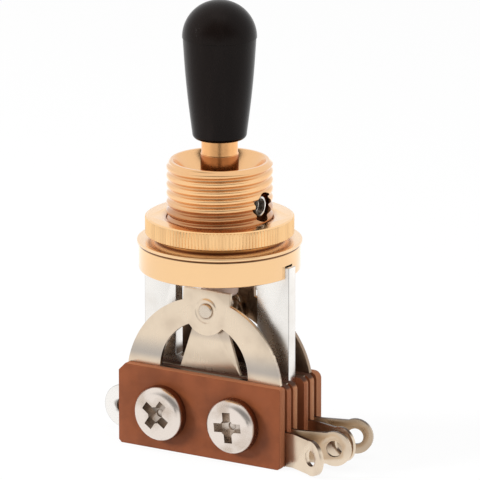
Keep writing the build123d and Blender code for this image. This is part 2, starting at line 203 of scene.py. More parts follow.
class Graph:
    """A node tree that is built through one method."""

    def __init__(self, tree: bpy.types.NodeTree) -> None:
        """Empties the tree."""
        self.tree = tree
        tree.nodes.clear()

    @staticmethod
    def _find(sockets: Any, key: Union[int, str]) -> bpy.types.NodeSocket:
        """Finds a socket by its index, its identifier or its name."""
        if isinstance(key, int):
            return sockets[key]
        for socket in sockets:
            if socket.identifier == key:
                return socket
        return sockets[key]

    def node(
        self,
        kind: str,
        settings: Optional[dict[str, Any]] = None,
        sockets: Optional[dict[Union[int, str], Any]] = None,
        output: Union[int, str] = 0,
    ) -> Value:
        """Adds a node.

        Args:
            kind: The node's type.
            settings: Its properties, set before its sockets.
            sockets: Values or links for its input sockets.
            output: The output socket to return.

        Returns:
            That output, ready for more maths.
        """
        made = self.tree.nodes.new(kind)
        for name, value in (settings or {}).items():
            setattr(made, name, value)
        for key, value in (sockets or {}).items():
            socket = self._find(made.inputs, key)
            if isinstance(value, Value):
                self.tree.links.new(value.socket, socket)
            elif isinstance(value, tuple) and len(value) == 3 and socket.type == "RGBA":
                socket.default_value = (*value, 1.0)
            else:
                socket.default_value = value
        if not made.outputs:
            return Value(self, made.inputs[0])
        return Value(self, self._find(made.outputs, output))

    def place(self) -> Value:
        """Object coordinates, in metres."""
        return self.node("ShaderNodeTexCoord", output="Object")

    def axes(self, vector: Value) -> tuple[Value, Value, Value]:
        """The three parts of a vector."""
        x, y, z = (self.node("ShaderNodeSeparateXYZ", {}, {0: vector}, axis) for axis in "XYZ")
        return x, y, z

    def millimetres(self, place: Value) -> tuple[Value, Value, Value]:
        """The three coordinates of a place, in millimetres: across, in depth and up."""
        across, depth, height = (part * (1 / MM) for part in self.axes(place))
        return across, depth, height

    def turned(self, place: Value) -> tuple[Value, Value]:
        """Distance from the Z axis, and height, in millimetres."""
        across, depth, height = self.millimetres(place)
        return distance(across, depth), height

    def facing(self) -> Value:
        """Direction that the surface faces, in the piece's own axes."""
        return self.node("ShaderNodeTexCoord", output="Normal")

    def dot(self, vector: Value, direction: Vector) -> Value:
        """How far a vector reaches in a direction: the dot product of the two."""
        sockets = {0: vector, 1: tuple(direction)}
        return self.node("ShaderNodeVectorMath", {"operation": "DOT_PRODUCT"}, sockets, "Value")

    def ray(self, kind: str) -> Value:
        """1 for rays of that kind, such as Camera or Glossy, and 0 for all others."""
        return self.node("ShaderNodeLightPath", output=f"Is {kind} Ray")

    def noise(self, place: Value, grains_per_mm: float, detail: float) -> Value:
        """Noise from 0 to 1 with that many grains in a millimetre."""
        sockets = {"Vector": place, "Scale": grains_per_mm / MM, "Detail": detail}
        return self.node("ShaderNodeTexNoise", {}, sockets)

    def mix(self, factor: Any, first: Any, second: Any) -> Value:
        """Colour mix from first at 0 to second at 1."""
        sockets = {"Factor_Float": factor, "A_Color": first, "B_Color": second}
        return self.node("ShaderNodeMix", {"data_type": "RGBA"}, sockets, "Result_Color")

    def stretched(self, place: Value, stretch: Stretch) -> Value:
        """Coordinates scaled along each axis, so that a pattern on them is drawn out."""
        return self.node("ShaderNodeMapping", {}, {"Vector": place, "Scale": stretch})

    def bump(self, height: Value, depth_mm: float) -> Value:
        """Bump whose full height is depth_mm."""
        sockets = {"Height": height, "Distance": depth_mm * MM, "Strength": 1.0}
        return self.node("ShaderNodeBump", {}, sockets)

    def surface(self, **sockets: Any) -> None:
        """Ends a material with a Principled shader.

        Args:
            **sockets: Its inputs, such as base_color for the socket named Base Color.
        """
        named = {
            name.replace("_", " ").title().replace("Ior", "IOR"): value
            for name, value in sockets.items()
        }
        shader = self.node("ShaderNodeBsdfPrincipled", {}, named)
        self.node("ShaderNodeOutputMaterial", {}, {"Surface": shader})


def new_material(name: str) -> tuple[bpy.types.Material, Graph]:
    """A material and the graph of its nodes."""
    material = bpy.data.materials.new(name)
    material.use_nodes = True
    return material, Graph(material.node_tree)


# --- Finishes -----------------------------------------------------------------------------------


def scaled(colour: Colour, factor: float, lift: float = 0.0) -> Colour:
    """A colour whose channels are each times factor plus lift, and at most 1."""
    red, green, blue = (min(1.0, channel * factor + lift) for channel in colour)
    return red, green, blue


@dataclass(frozen=True)
class PlatedMetal:
    """Plated or rolled metal with uneven sheen, a faint ripple and fine handling marks.

    Attributes:
        name: Name of the material.
        colour: Reflected colour.
        stain: Colour of its duller patches.
        roughness: Middle roughness.
        spread: How far the roughness varies.
        ripple: Height of the fine ripple, in millimetres.
        grain: Stretch of the ripple along X, Y and Z.
        lacquer: Share of clear lacquer over the metal.
        lacquer_roughness: Roughness of the lacquer.
        smoothest: Roughness that no patch goes under.
        patches: Noise levels between which the plain colour turns into the stain.
        blur: Width of the soft borders between two tones, in millimetres.
    """

    name: str
    colour: Colour
    stain: Colour
    roughness: float
    spread: float
    ripple: float
    grain: Stretch = (1.0, 1.0, 1.0)
    lacquer: float = 0.0
    lacquer_roughness: float = 0.15
    smoothest: float = 0.03
    patches: Span = (0.45, 0.75)
    blur: float = 0.1

    def tone(self, graph: Graph, place: Value, plain: Value) -> Value:
        """Colour over the piece.

        Args:
            graph: The material's graph.
            place: Object coordinates, in metres.
            plain: Colour of the metal with its patches only.

        Returns:
            The colour, here the plain one.
        """
        return plain

    def relief(self, graph: Graph, place: Value, marks: Value) -> Value:
        """Normal of the surface, with its fine ripple."""
        return graph.bump(marks, self.ripple)

    def material(self) -> bpy.types.Material:
        """Builds the material."""
        material, graph = new_material(self.name)
        place = graph.place()
        cloud = graph.noise(place, grains_per_mm=0.35, detail=4.0)
        marks = graph.noise(graph.stretched(place, self.grain), grains_per_mm=6.0, detail=5.0)
        plain = graph.mix(cloud.rise(*self.patches), self.colour, self.stain)
        rough = self.roughness + (cloud - 0.5) * self.spread + (marks - 0.5) * self.spread
        graph.surface(
            base_color=self.tone(graph, place, plain),
            metallic=1.0,
            roughness=rough.at_least(self.smoothest),
            coat_weight=self.lacquer,
            coat_roughness=self.lacquer_roughness,
            normal=self.relief(graph, place, marks),
        )
        return material


@dataclass(frozen=True)
class TurnedPlate(PlatedMetal):
    """Plating on a turned piece, with painted shade near the axis and over the foot of the thread.

    Attributes:
        recess_shade: Colour of the painted shade in the grooves.
        radii: Radii in millimetres at which the dull part starts, is dullest, starts to clear and
            is bright again.
        heights: Heights between which this counts; below them the colour is the even one.
        even: Colour below those heights; on the nut and the lever it is painted shade.
        foot_shade: Share of the painted shade near the foot of the thread, just above the nut.
        foot_shade_colour: Colour of that painted shade.
        foot_shade_heights: Heights over which it fades out.
    """

    recess_shade: Colour = (0.80, 0.45, 0.21)
    radii: Band = (5.2, 5.4, 5.62, 5.92)
    heights: Span = (0.05, 8.9)
    even: Colour = (0.96, 0.62, 0.32)
    foot_shade: float = 0.75
    foot_shade_colour: Colour = (0.44, 0.17, 0.055)
    foot_shade_heights: Span = (4.2, 5.2)

    def tone(self, graph: Graph, place: Value, plain: Value) -> Value:
        """Painted shade in the grooves, and over the foot of the thread."""
        radius, height = graph.turned(place)
        low, high = self.heights
        upper = height.rise(low, low + self.blur)
        within = upper * height.fall(high, high + self.blur)
        # Below the heights the even colour, which is painted shade on the nut and the lever.
        above = graph.mix(upper, self.even, plain)
        # Painted shade in the grooves near the axis.
        grooved = graph.mix(radius.band(*self.radii) * within, above, self.recess_shade)
        # Painted shade over the foot of the thread, just above the nut.
        foot_shade = radius.rise(*self.radii[:2]) * height.fall(*self.foot_shade_heights) * self.foot_shade
        return graph.mix(foot_shade * within, grooved, self.foot_shade_colour)


@dataclass(frozen=True)
class BushingPlate(TurnedPlate):
    """Turned plating: painted shade in the mouth, and a painted shadow on the flange by the washer.

    Attributes:
        mouth: Share of the painted recess shade inside the mouth.
        mouth_radius: Radius of the mouth's rim, in millimetres.
        rim: Heights between which that colour starts on the uppermost turn.
        washer_shadow: Heights where the painted shadow starts, is darkest, starts to clear and is
            gone.
        washer_shadow_radii: Radii between which the painted shadow starts.
        shade_colour: Colour of the painted shadow.
    """

    mouth: float = 0.42
    mouth_radius: float = 5.0
    rim: Span = (8.2, 8.6)
    washer_shadow: Band = (-0.3, -0.16, 0.02, 0.05)
    washer_shadow_radii: Span = (8.0, 8.2)
    shade_colour: Colour = (0.16, 0.065, 0.02)

    def tone(self, graph: Graph, place: Value, plain: Value) -> Value:
        """The turned tone, then painted shade in the mouth and a painted shadow under the washer."""
        radius, height = graph.turned(place)
        turned = super().tone(graph, place, plain)
        inside = radius.fall(self.mouth_radius - self.blur, self.mouth_radius)
        # Painted shade inside the mouth, and the same darker tone over the uppermost turn.
        warm = graph.mix(inside.at_least(height.rise(*self.rim)) * self.mouth, turned, self.recess_shade)
        # Painted shadow on the flange, under the washer's edge.
        washer_shadow = height.band(*self.washer_shadow) * radius.rise(*self.washer_shadow_radii)
        return graph.mix(washer_shadow, warm, self.shade_colour)


@dataclass(frozen=True)
class KnurledPlate(TurnedPlate):
    """Turned plating with painted shade in the grooves between the teeth of a knurl.

    Attributes:
        teeth: Radii of the grooves and of the crests, in millimetres.
        core: Radii between which the knurled part starts.
        knurl: Heights at which the knurl starts, is full, starts to end and has ended.
        groove: Share of the painted shade in the grooves.
        tooth_gap_shade: Colour of that painted shade.
        wear: How much the painted shade differs from tooth to tooth.
        streak: Stretch of the wear's pattern, which is drawn out along the teeth.
        streaks: Noise levels between which the wear goes from one shade to the other.
        foot: Heights between which the turned tone under the knurl ends.
        seat: Radii between which the shaded seat under the nut gives way to even plating.
        shade: Heights between which the seat clears.
        lower_edge: Radii between which the lower chamfer gets the painted shadow again.
        edge_shade: Share of the painted shadow on that chamfer.
    """

    teeth: Span = (8.2, 8.33)
    core: Span = (7.9, 8.0)
    knurl: Band = (1.06, 1.10, 2.90, 2.94)
    groove: float = 0.28
    tooth_gap_shade: Colour = (0.66, 0.37, 0.155)
    wear: float = 0.5
    streak: Stretch = (1.0, 1.0, 0.08)
    streaks: Span = (0.35, 0.65)
    foot: Span = (0.98, 1.03)
    seat: Span = (7.32, 7.5)
    shade: Span = (0.45, 0.75)
    lower_edge: Span = (7.6, 7.8)
    edge_shade: float = 0.8

    def tone(self, graph: Graph, place: Value, plain: Value) -> Value:
        """The turned tone, plain outside the seat's shade, then painted shade in the knurl's grooves.
        """
        radius, height = graph.turned(place)
        # Painted shadow under the nut: it stays on the seat and on the lower chamfer.
        clear = radius.rise(*self.seat).at_least(height.rise(*self.shade))
        clear = clear * (1.0 - radius.rise(*self.lower_edge) * self.edge_shade)
        turned = super().tone(graph, place, plain)
        body = graph.mix(clear * height.fall(*self.foot), turned, plain)
        pattern = graph.noise(graph.stretched(place, self.streak), grains_per_mm=0.8, detail=3.0)
        worn = (pattern.rise(*self.streaks) - 0.5) * self.wear
        # Painted shade in the grooves between the teeth.
        groove = radius.rise(*self.core) * (radius.fall(*self.teeth) * self.groove + worn)
        return graph.mix(groove * height.band(*self.knurl), body, self.tooth_gap_shade)


@dataclass(frozen=True)
class PinSteel(PlatedMetal):
    """Bright turned pin along X, with painted shade in its hollow ends and over its front half.

    Attributes:
        axis_height: Height of the pin's axis, in millimetres.
        cup: Radii between which the hollow in each end gives way to the bright rim.
        shade_colour: Colour of the painted shade.
        front_shade: Places along Y between which the painted shade ends.
    """

    axis_height: float = 4.7
    cup: Span = (0.73, 0.85)
    shade_colour: Colour = (0.05, 0.04, 0.03)
    front_shade: Span = (-0.3, 0.45)

    def tone(self, graph: Graph, place: Value, plain: Value) -> Value:
        """Painted shade in the cups and over the front half, by the distance from the pin's axis."""
        _, depth, height = graph.millimetres(place)
        radius = distance(depth, height - self.axis_height)
        # Painted shade: dark inside each cup and over the front half of the pin.
        unshaded = radius.rise(*self.cup) * depth.rise(*self.front_shade)
        return graph.mix(unshaded, self.shade_colour, plain)


@dataclass(frozen=True)
class FramePlate(PlatedMetal):
    """Plating of the frame, with painted shade low down on the edges that face each other.

    Attributes:
        shadow_colour: Colour of the painted shade.
        heights: Heights between which it ends, in millimetres.
        edges: Values between which it starts, where the value is the distance from x = 0 in
            millimetres times how squarely the surface faces x = 0.
    """

    shadow_colour: Colour = (0.10, 0.07, 0.05)
    heights: Span = (-13.3, -12.3)
    edges: Span = (1.0, 3.0)

    def tone(self, graph: Graph, place: Value, plain: Value) -> Value:
        """Painted shade low down where the surface faces towards x = 0."""
        across, _, height = graph.millimetres(place)
        towards = graph.axes(graph.facing())[0] * across * -1.0
        # Painted shade on the legs' inner edges, low down.
        return graph.mix(towards.rise(*self.edges) * height.fall(*self.heights), plain, self.shadow_colour)


@dataclass(frozen=True)
class ScrewPlate(PlatedMetal):
    """Plating of screws along Y: bright on the flats, with painted shade on the sides.

    Attributes:
        side: Colour of the painted shade on the sides.
        flats: How squarely a surface faces along Y where the painted shade starts to clear and is
            gone.
    """

    side: Colour = (0.30, 0.19, 0.13)
    flats: Span = (0.15, 0.6)

    def tone(self, graph: Graph, place: Value, plain: Value) -> Value:
        """Painted shade where the surface faces across the axis."""
        along = abs(graph.axes(graph.facing())[1])
        # Painted shade on the sides of the heads and the nuts.
        return graph.mix(along.rise(*self.flats), self.side, plain)


@dataclass(frozen=True)
class LeafMetal(PlatedMetal):
    """Rolled leaf metal: bright outside, painted shade on the sides facing the middle of the stack.

    Lengths are in millimetres. The middle is at x = 0 for distances to the sides, and the heights
    of the band, the ledges and the lugs are counted from the top of the clamp.

    Attributes:
        inner: Colour of the painted shade facing y = 0, at the lugs' roots and on the rear edges.
        inwards: Values between which the painted shade starts, where the value is the distance
        from y = 0 times how squarely the surface faces y = 0.
        clamp_height: Top of the insulating plates.
        band_height: Height at which the painted shade over the clamp is darkest.
        band_rise: Height over which it gets that dark.
        fade: Height over which it clears again.
        clamp_band_shade: Colour of that band of painted shade.
        ledge_shade: Colour of the painted shade on the ledges inside the stack.
        ledge_heights: Heights between which that painted shade ends.
        ledge_facing: How squarely a surface faces up where it starts to be a ledge and is one.
        lug: Heights between which the solder lugs end and the leaf starts.
        lug_cleared: Share of the painted inner shade that the lugs lack.
        root: Distances to the side between which the shade at the lugs' roots clears.
        root_shade: Share of that shade.
        lug_shade: Colour of the painted shade near the inner lugs' roots and all over the rear ones.
        lug_shade_share: Share of that painted shade.
        lug_shade_reach: Distances to the side between which it ends on the inner lugs.
        inner_lugs: Places along Y between which the inner lugs start.
        rear_lugs: Places along Y between which the rear lugs start.
        rear_leaves: Places along Y between which the leaves with painted shade on their edges start.
        sheared: How squarely a surface faces along Y where it starts to be a side of the leaf and
            is no sheared edge any more.
        rivet_height: Height of the rivets.
        boss_radii: Radii between which the pressed ring round each rivet ends.
        boss_height: Height of that ring.
        shadow_colour: Painted shadow round each rivet's head, and where another leaf lies over.
        rivet_shadow_radii: Radii at which it starts, is darkest, starts to clear and is gone.
        rivet_shadow_share: Share of the painted shadow round the rivets.
        neck_heights: Heights over which a leaf gets painted shadow where another one lies over it.
        neck: Share of that shade.
    """

    inner: Colour = (0.34, 0.25, 0.18)
    inwards: Span = (0.1, 0.6)
    clamp_height: float = -14.6
    band_height: float = 1.3
    band_rise: float = 1.0
    fade: float = 2.4
    clamp_band_shade: Colour = (0.50, 0.445, 0.39)
    ledge_shade: Colour = (0.10, 0.065, 0.045)
    ledge_heights: Span = (0.2, 0.5)
    ledge_facing: Span = (0.5, 0.8)
    lug: Span = (-0.2, 0.0)
    lug_cleared: float = 0.93
    root: Span = (10.6, 12.4)
    root_shade: float = 0.85
    lug_shade: Colour = (0.36, 0.26, 0.17)
    lug_shade_share: float = 0.6
    lug_shade_reach: Span = (12.8, 14.6)
    inner_lugs: Span = (-2.4, -1.6)
    rear_lugs: Span = (0.8, 1.6)
    rear_leaves: Span = (0.5, 1.0)
    sheared: Span = (0.3, 0.6)
    rivet_height: float = -7.5
    boss_radii: Span = (1.15, 1.55)
    boss_height: float = 0.15
    shadow_colour: Colour = (0.50, 0.42, 0.35)
    rivet_shadow_radii: Band = (0.78, 0.84, 0.88, 1.02)
    rivet_shadow_share: float = 0.8
    neck_heights: Span = (-11.3, -10.4)
    neck: float = 0.0

    def tone(self, graph: Graph, place: Value, plain: Value) -> Value:
        """Painted shade where the surface faces towards y = 0, over everything that shows outside."""
        across, depth, height = graph.millimetres(place)
        _, sideways, upwards = graph.axes(graph.facing())
        above = height - self.clamp_height
        lug = above.fall(*self.lug)
        outer = self._banded(graph, across, height, plain)
        # Painted shade on the lugs: near the inner lugs' roots and all over the rear lugs.
        outer = graph.mix(lug * self._lug_shading(abs(across), depth), outer, self.lug_shade)
        # Painted shade on the sheared edges of the rear leaves.
        edges = abs(sideways).fall(*self.sheared) * depth.rise(*self.rear_leaves) * (1.0 - lug)
        outer = graph.mix(edges, outer, self.inner)
        # Painted shade on the sides that face y = 0, and at the lugs' roots.
        dull = (sideways * depth * -1.0).rise(*self.inwards) * (1.0 - lug * self.lug_cleared)
        root = lug * abs(across).fall(*self.root) * self.root_shade
        inner_shaded = graph.mix(dull.at_least(root), outer, self.inner)
        # Painted shade on the ledges inside the stack.
        ledge = upwards.rise(*self.ledge_facing) * above.fall(*self.ledge_heights)
        return graph.mix(ledge, inner_shaded, self.ledge_shade)

    def _banded(self, graph: Graph, across: Value, height: Value, plain: Value) -> Value:
        """The painted shade over the clamp, then the painted shadows round the rivet and on the neck.
        """
        above = height - self.clamp_height
        peak = self.band_height
        # Painted shade in a band just over the clamp.
        clamp_shading = above.band(peak - self.band_rise, peak, peak, peak + self.fade)
        banded = graph.mix(clamp_shading, plain, self.clamp_band_shade)
        # Painted shadow round each rivet's head.
        shadowed = self._from_rivet(across, height).band(*self.rivet_shadow_radii) * self.rivet_shadow_share
        # Painted shadow where another leaf lies over this one.
        covered = height.rise(*self.neck_heights) * self.neck
        return graph.mix(shadowed.at_least(covered), banded, self.shadow_colour)

    def _lug_shading(self, outward: Value, depth: Value) -> Value:
        """Share of painted shade: near the roots of the inner lugs, and all over the rear ones."""
        near_root = depth.rise(*self.inner_lugs) * outward.fall(*self.lug_shade_reach)
        return near_root.at_least(depth.rise(*self.rear_lugs)) * self.lug_shade_share

    def _from_rivet(self, across: Value, height: Value) -> Value:
        """Distance from the rivets' axis, which runs along Y."""
        return distance(across, height - self.rivet_height)

    def relief(self, graph: Graph, place: Value, marks: Value) -> Value:
        """Fine ripple, and a ring pressed up round the rivet."""
        across, _, height = graph.millimetres(place)
        boss = self._from_rivet(across, height).fall(*self.boss_radii)
        return graph.bump(marks * (self.ripple / self.boss_height) + boss, self.boss_height)


@dataclass(frozen=True)
class MouldedPlastic:
    """Moulded plastic: a plain colour with a fine orange-peel skin and faint wipe marks.

    Attributes:
        name: Name of the material.
        colour: Base colour.
        roughness: Middle roughness.
        specular: Specular level.
        peel: Height of the skin's ripple, in millimetres.
        spread: How far the wipe marks vary the roughness.
        wipes: Noise levels between which they turn the colour lighter.
        wiped: Stretch of the wipe marks along X, Y and Z.
    """

    name: str
    colour: Colour
    roughness: float
    specular: float
    peel: float
    spread: float = 0.12
    wipes: Span = (0.4, 0.8)
    wiped: Stretch = (1.0, 1.0, 0.25)

    def material(self) -> bpy.types.Material:
        """Builds the material."""
        material, graph = new_material(self.name)
        place = graph.place()
        skin = graph.noise(place, grains_per_mm=1.6, detail=2.0)
        marks = graph.noise(graph.stretched(place, self.wiped), grains_per_mm=0.5, detail=5.0)
        lighter = scaled(self.colour, 1.35, 0.002)
        graph.surface(
            base_color=graph.mix(marks.rise(*self.wipes), self.colour, lighter),
            roughness=self.roughness + (marks - 0.5) * self.spread,
            specular_ior_level=self.specular,
            normal=graph.bump(skin, self.peel),
        )
        return material


@dataclass(frozen=True)
class PhenolicBoard:
    """Laminated phenolic board: smooth brown faces, and paler sawn edges that show the layers.

    The layers lie across Y, and the faces look along Y.

    Attributes:
        name: Name of the material.
        face: Colour of the two faces.
        edge: Colour of the sawn edges.
        pale: Colour of the edges of other sheets; one board differs from the next.
        layer: Thickness of one layer, in millimetres.
        sheet: Stretch of the pattern that tells the sheets apart.
        fibre: Stretch of the fibres along X, Y and Z.
        clouds: Noise levels between which a face turns darker.
        sheets: Noise levels between which a sheet's edge turns pale.
        chalk: Noise levels between which the ends of the fibres turn chalky.
        sawn: How squarely a surface faces along Y where it starts to be a face and is one.
        shadow_colour: Colour of the painted shade on top of the plates inside the stack.
        ledge: How squarely a surface faces up where that painted shade starts and is full.
        stack: Distances from y = 0 between which that inner part ends, in millimetres.
        roughness: Roughness of the faces.
        sawn_roughness: How much rougher the sawn edges are.
        spread: How far the fibres vary the roughness.
        specular: Specular level.
        fibre_depth: Depth of the fibres' relief, in millimetres.
    """

    name: str = "phenolic board"
    face: Colour = (0.20, 0.057, 0.021)
    edge: Colour = (0.34, 0.12, 0.055)
    pale: Colour = (0.58, 0.29, 0.15)
    layer: float = 0.16
    sheet: Stretch = (0.01, 1.0, 0.02)
    fibre: Stretch = (0.2, 1.0, 1.0)
    clouds: Span = (0.35, 0.7)
    sheets: Span = (0.35, 0.62)
    chalk: Span = (0.55, 0.75)
    sawn: Span = (0.35, 0.8)
    shadow_colour: Colour = (0.07, 0.03, 0.018)
    ledge: Span = (0.3, 0.7)
    stack: Span = (3.4, 3.5)
    roughness: float = 0.42
    sawn_roughness: float = 0.26
    spread: float = 0.15
    specular: float = 0.18
    fibre_depth: float = 0.02

    def material(self) -> bpy.types.Material:
        """Builds the material."""
        material, graph = new_material(self.name)
        place = graph.place()
        depth = graph.millimetres(place)[1]
        _, sideways, upwards = graph.axes(graph.facing())
        sawn = abs(sideways).fall(*self.sawn)
        fibres = graph.noise(graph.stretched(place, self.fibre), grains_per_mm=5.0, detail=5.0)
        cloud = graph.noise(place, grains_per_mm=0.4, detail=4.0)
        face = graph.mix(cloud.rise(*self.clouds), self.face, scaled(self.face, 0.78))
        # Painted shade on the tops of the plates inside the stack.
        shadowed = upwards.rise(*self.ledge) * abs(depth).fall(*self.stack)
        edge = graph.mix(shadowed, self._sawn_edge(graph, place, depth, fibres), self.shadow_colour)
        graph.surface(
            base_color=graph.mix(sawn, face, edge),
            roughness=self.roughness + sawn * self.sawn_roughness + (fibres - 0.5) * self.spread,
            specular_ior_level=self.specular,
            normal=graph.bump(fibres * (0.3 + sawn), self.fibre_depth),
        )
        return material

    def _sawn_edge(self, graph: Graph, place: Value, depth: Value, fibres: Value) -> Value:
        """Colour of the sawn edges.

        Args:
            graph: The material's graph.
            place: Object coordinates, in metres.
            depth: Place along Y, in millimetres.
            fibres: Noise from 0 to 1 that is drawn out along the fibres.

        Returns:
            The board's own shade, dark stripes that are a sine wave over each layer and waver
            with the fibres, and chalky ends of the fibres.
        """
        sheet = graph.noise(graph.stretched(place, self.sheet), grains_per_mm=0.6, detail=1.0)
        stripes = (depth * (2 * math.pi / self.layer) + fibres * 2.0).sine() * 0.5 + 0.5
        shade = graph.mix(sheet.rise(*self.sheets), self.edge, self.pale)
        striped = graph.mix(stripes * 0.45 + fibres * 0.35, shade, self.face)
        return graph.mix(fibres.rise(*self.chalk), striped, scaled(self.edge, 1.25))


LEAF_METAL = LeafMetal(
    "leaf metal",
    colour=(0.82, 0.68, 0.525),
    stain=(0.71, 0.58, 0.445),
    roughness=0.3,
    spread=0.14,
    ripple=0.0012,
    grain=(1.0, 1.0, 0.12),
)


class Finishes:
    """Every material of the switch, made once."""

    TABLE: dict[str, Any] = {
        "washer": PlatedMetal(
            "washer plate",
            colour=(0.98, 0.66, 0.36),
            stain=(0.96, 0.62, 0.32),
            roughness=0.3,
            spread=0.1,
            ripple=0.0008,
            lacquer=0.8,
        ),
        # The bushing: painted shade in the grooves, the foot of the thread and the mouth, and a
        # painted shadow under the washer.
        "thread": BushingPlate(
            "thread plate",
            colour=(0.96, 0.58, 0.28),
            stain=(0.94, 0.53, 0.24),
            roughness=0.18,
            spread=0.08,
            ripple=0.0006,
            lacquer=0.6,
        ),
        # The nut: painted shade round the bore on its top, and painted shadow on its underside and
        # seat.
        "nut": KnurledPlate(
            "nut plate",
            colour=(1.0, 0.63, 0.295),
            stain=(0.97, 0.585, 0.26),
            roughness=0.24,
            spread=0.08,
            ripple=0.0008,
            lacquer=0.7,
            recess_shade=(0.78, 0.45, 0.21),
            radii=(5.0, 5.5, 6.1, 6.6),
            heights=(0.97, 9.0),
            even=(0.20, 0.07, 0.02),
            foot_shade=0.0,
        ),
        # Walls of the pin hole and leg slots cut in the bushing: painted shade.
        "bore": PlatedMetal(
            "bore",
            colour=(0.22, 0.10, 0.045),
            stain=(0.14, 0.06, 0.025),
            roughness=0.3,
            spread=0.12,
            ripple=0.001,
        ),
        # The lever: painted shade on its barrel below the bushing's rim.
        "lever": TurnedPlate(
            "lever plate",
            colour=(0.92, 0.48, 0.20),
            stain=(0.72, 0.35, 0.135),
            roughness=0.2,
            spread=0.14,
            ripple=0.003,
            radii=(20.0, 21.0, 22.0, 23.0),
            heights=(10.05, 40.0),
            even=(0.50, 0.17, 0.05),
            foot_shade=0.0,
        ),
        "nickel": FramePlate(
            "nickel plate",
            colour=(0.94, 0.91, 0.87),
            stain=(0.87, 0.83, 0.78),
            roughness=0.28,
            spread=0.1,
            ripple=0.0008,
        ),
        # Eased edges of the frame plate: a darker colour that is painted shade.
        "nickel edge": PlatedMetal(
            "nickel edge",
            colour=(0.50, 0.48, 0.46),
            stain=(0.36, 0.34, 0.32),
            roughness=0.3,
            spread=0.1,
            ripple=0.001,
        ),
        # Screws and nuts: painted shade on their sides.
        "screw": ScrewPlate(
            "screw plate",
            colour=(0.82, 0.73, 0.66),
            stain=(0.60, 0.50, 0.42),
            roughness=0.24,
            spread=0.16,
            ripple=0.003,
        ),
        # Walls of the screws' cross recesses: darker than the heads, painted shade.
        "recess": PlatedMetal(
            "screw recess",
            colour=(0.66, 0.58, 0.51),
            stain=(0.26, 0.20, 0.16),
            roughness=0.3,
            spread=0.2,
            ripple=0.012,
        ),
        "leaf": LEAF_METAL,
        # The tongue: a lighter, shorter band of painted shade over the clamp, and painted shadow under
        # the spring leaf.
        "tongue": replace(
            LEAF_METAL, name="tongue metal", fade=1.4, clamp_band_shade=(0.70, 0.575, 0.44), neck=0.6
        ),
        "silver": PlatedMetal(
            "contact silver",
            colour=(0.72, 0.62, 0.51),
            stain=(0.62, 0.52, 0.42),
            roughness=0.28,
            spread=0.12,
            ripple=0.001,
        ),
        "steel": PinSteel(
            "turned steel",
            colour=(0.88, 0.84, 0.79),
            stain=(0.78, 0.73, 0.67),
            roughness=0.3,
            spread=0.12,
            ripple=0.001,
        ),
        "tip": MouldedPlastic(
            "black plastic",
            colour=(0.0050, 0.0027, 0.0020),
            roughness=0.27,
            specular=0.12,
            peel=0.0015,
        ),
        "nylon": MouldedPlastic(
            "nylon", colour=(0.72, 0.56, 0.49), roughness=0.42, specular=0.4, peel=0.002
        ),
        "phenolic": PhenolicBoard(),
    }

    def __init__(self) -> None:
        """Starts with no material built."""
        self._made: dict[str, bpy.types.Material] = {}

    def get(self, name: str) -> bpy.types.Material:
        """The material of that name."""
        if name not in self._made:
            self._made[name] = self.TABLE[name].material()
        return self._made[name]


# --- Surfaces -----------------------------------------------------------------------------------


def rounded(corners: Sequence[Corner], steps: int = 5) -> np.ndarray:
    """Rounds the inner corners of an open outline.

    Each corner is replaced by an arc tangent to both sides: its centre lies on the corner's
    bisector, and its points turn evenly from one side to the other.

    Args:
        corners: Radius, height and rounding of each corner, in millimetres. A rounding of 0 keeps
            the corner sharp, and the two ends are never rounded.
        steps: Steps on each arc.

    Returns:
        The rounded outline, with the radius and height of one point in each row.
    """
    table = np.array(corners, float)
    points, radii = table[:, :2], table[:, 2]
    outline = [points[0]]
    for before, corner, after, radius in zip(points, points[1:], points[2:], radii[1:]):
        first = (before - corner) / np.linalg.norm(before - corner)
        second = (after - corner) / np.linalg.norm(after - corner)
        half = math.acos(float(np.clip(first @ second, -1.0, 1.0))) / 2
        if radius <= 0 or half > STRAIGHT_HALF:
            outline.append(corner)
            continue
        bisector = (first + second) / np.linalg.norm(first + second)
        centre = corner + bisector * radius / math.sin(half)
        start = corner + first * radius / math.tan(half) - centre
        end = corner + second * radius / math.tan(half) - centre
        turn = math.acos(float(np.clip(start @ end / radius**2, -1.0, 1.0)))
        share = np.linspace(0.0, 1.0, steps + 1)[:, None]
        arc = (np.sin((1 - share) * turn) * start + np.sin(share * turn) * end) / math.sin(turn)
        outline.extend(centre + arc)
    outline.append(points[-1])
    return np.array(outline)


def full_turn(segments: int) -> np.ndarray:
    """Angles of that many even steps round a full turn, in radians."""
    return np.linspace(0.0, 2 * np.pi, segments, endpoint=False)


def turned_grid(radius: np.ndarray, angle: np.ndarray, height: np.ndarray) -> np.ndarray:
    """Grid of points about Z.

    Args:
        radius: Radius of each row, or of each point where it changes round the axis.
        angle: Angle of each column, in radians.
        height: Height of each row.

    Returns:
        Rows by columns by 3, with x = radius cos angle, y = radius sin angle and z = height.
    """
    radius, height = np.broadcast_arrays(radius + 0 * angle, height + 0 * angle)
    return np.stack([radius * np.cos(angle), radius * np.sin(angle), height], axis=-1)


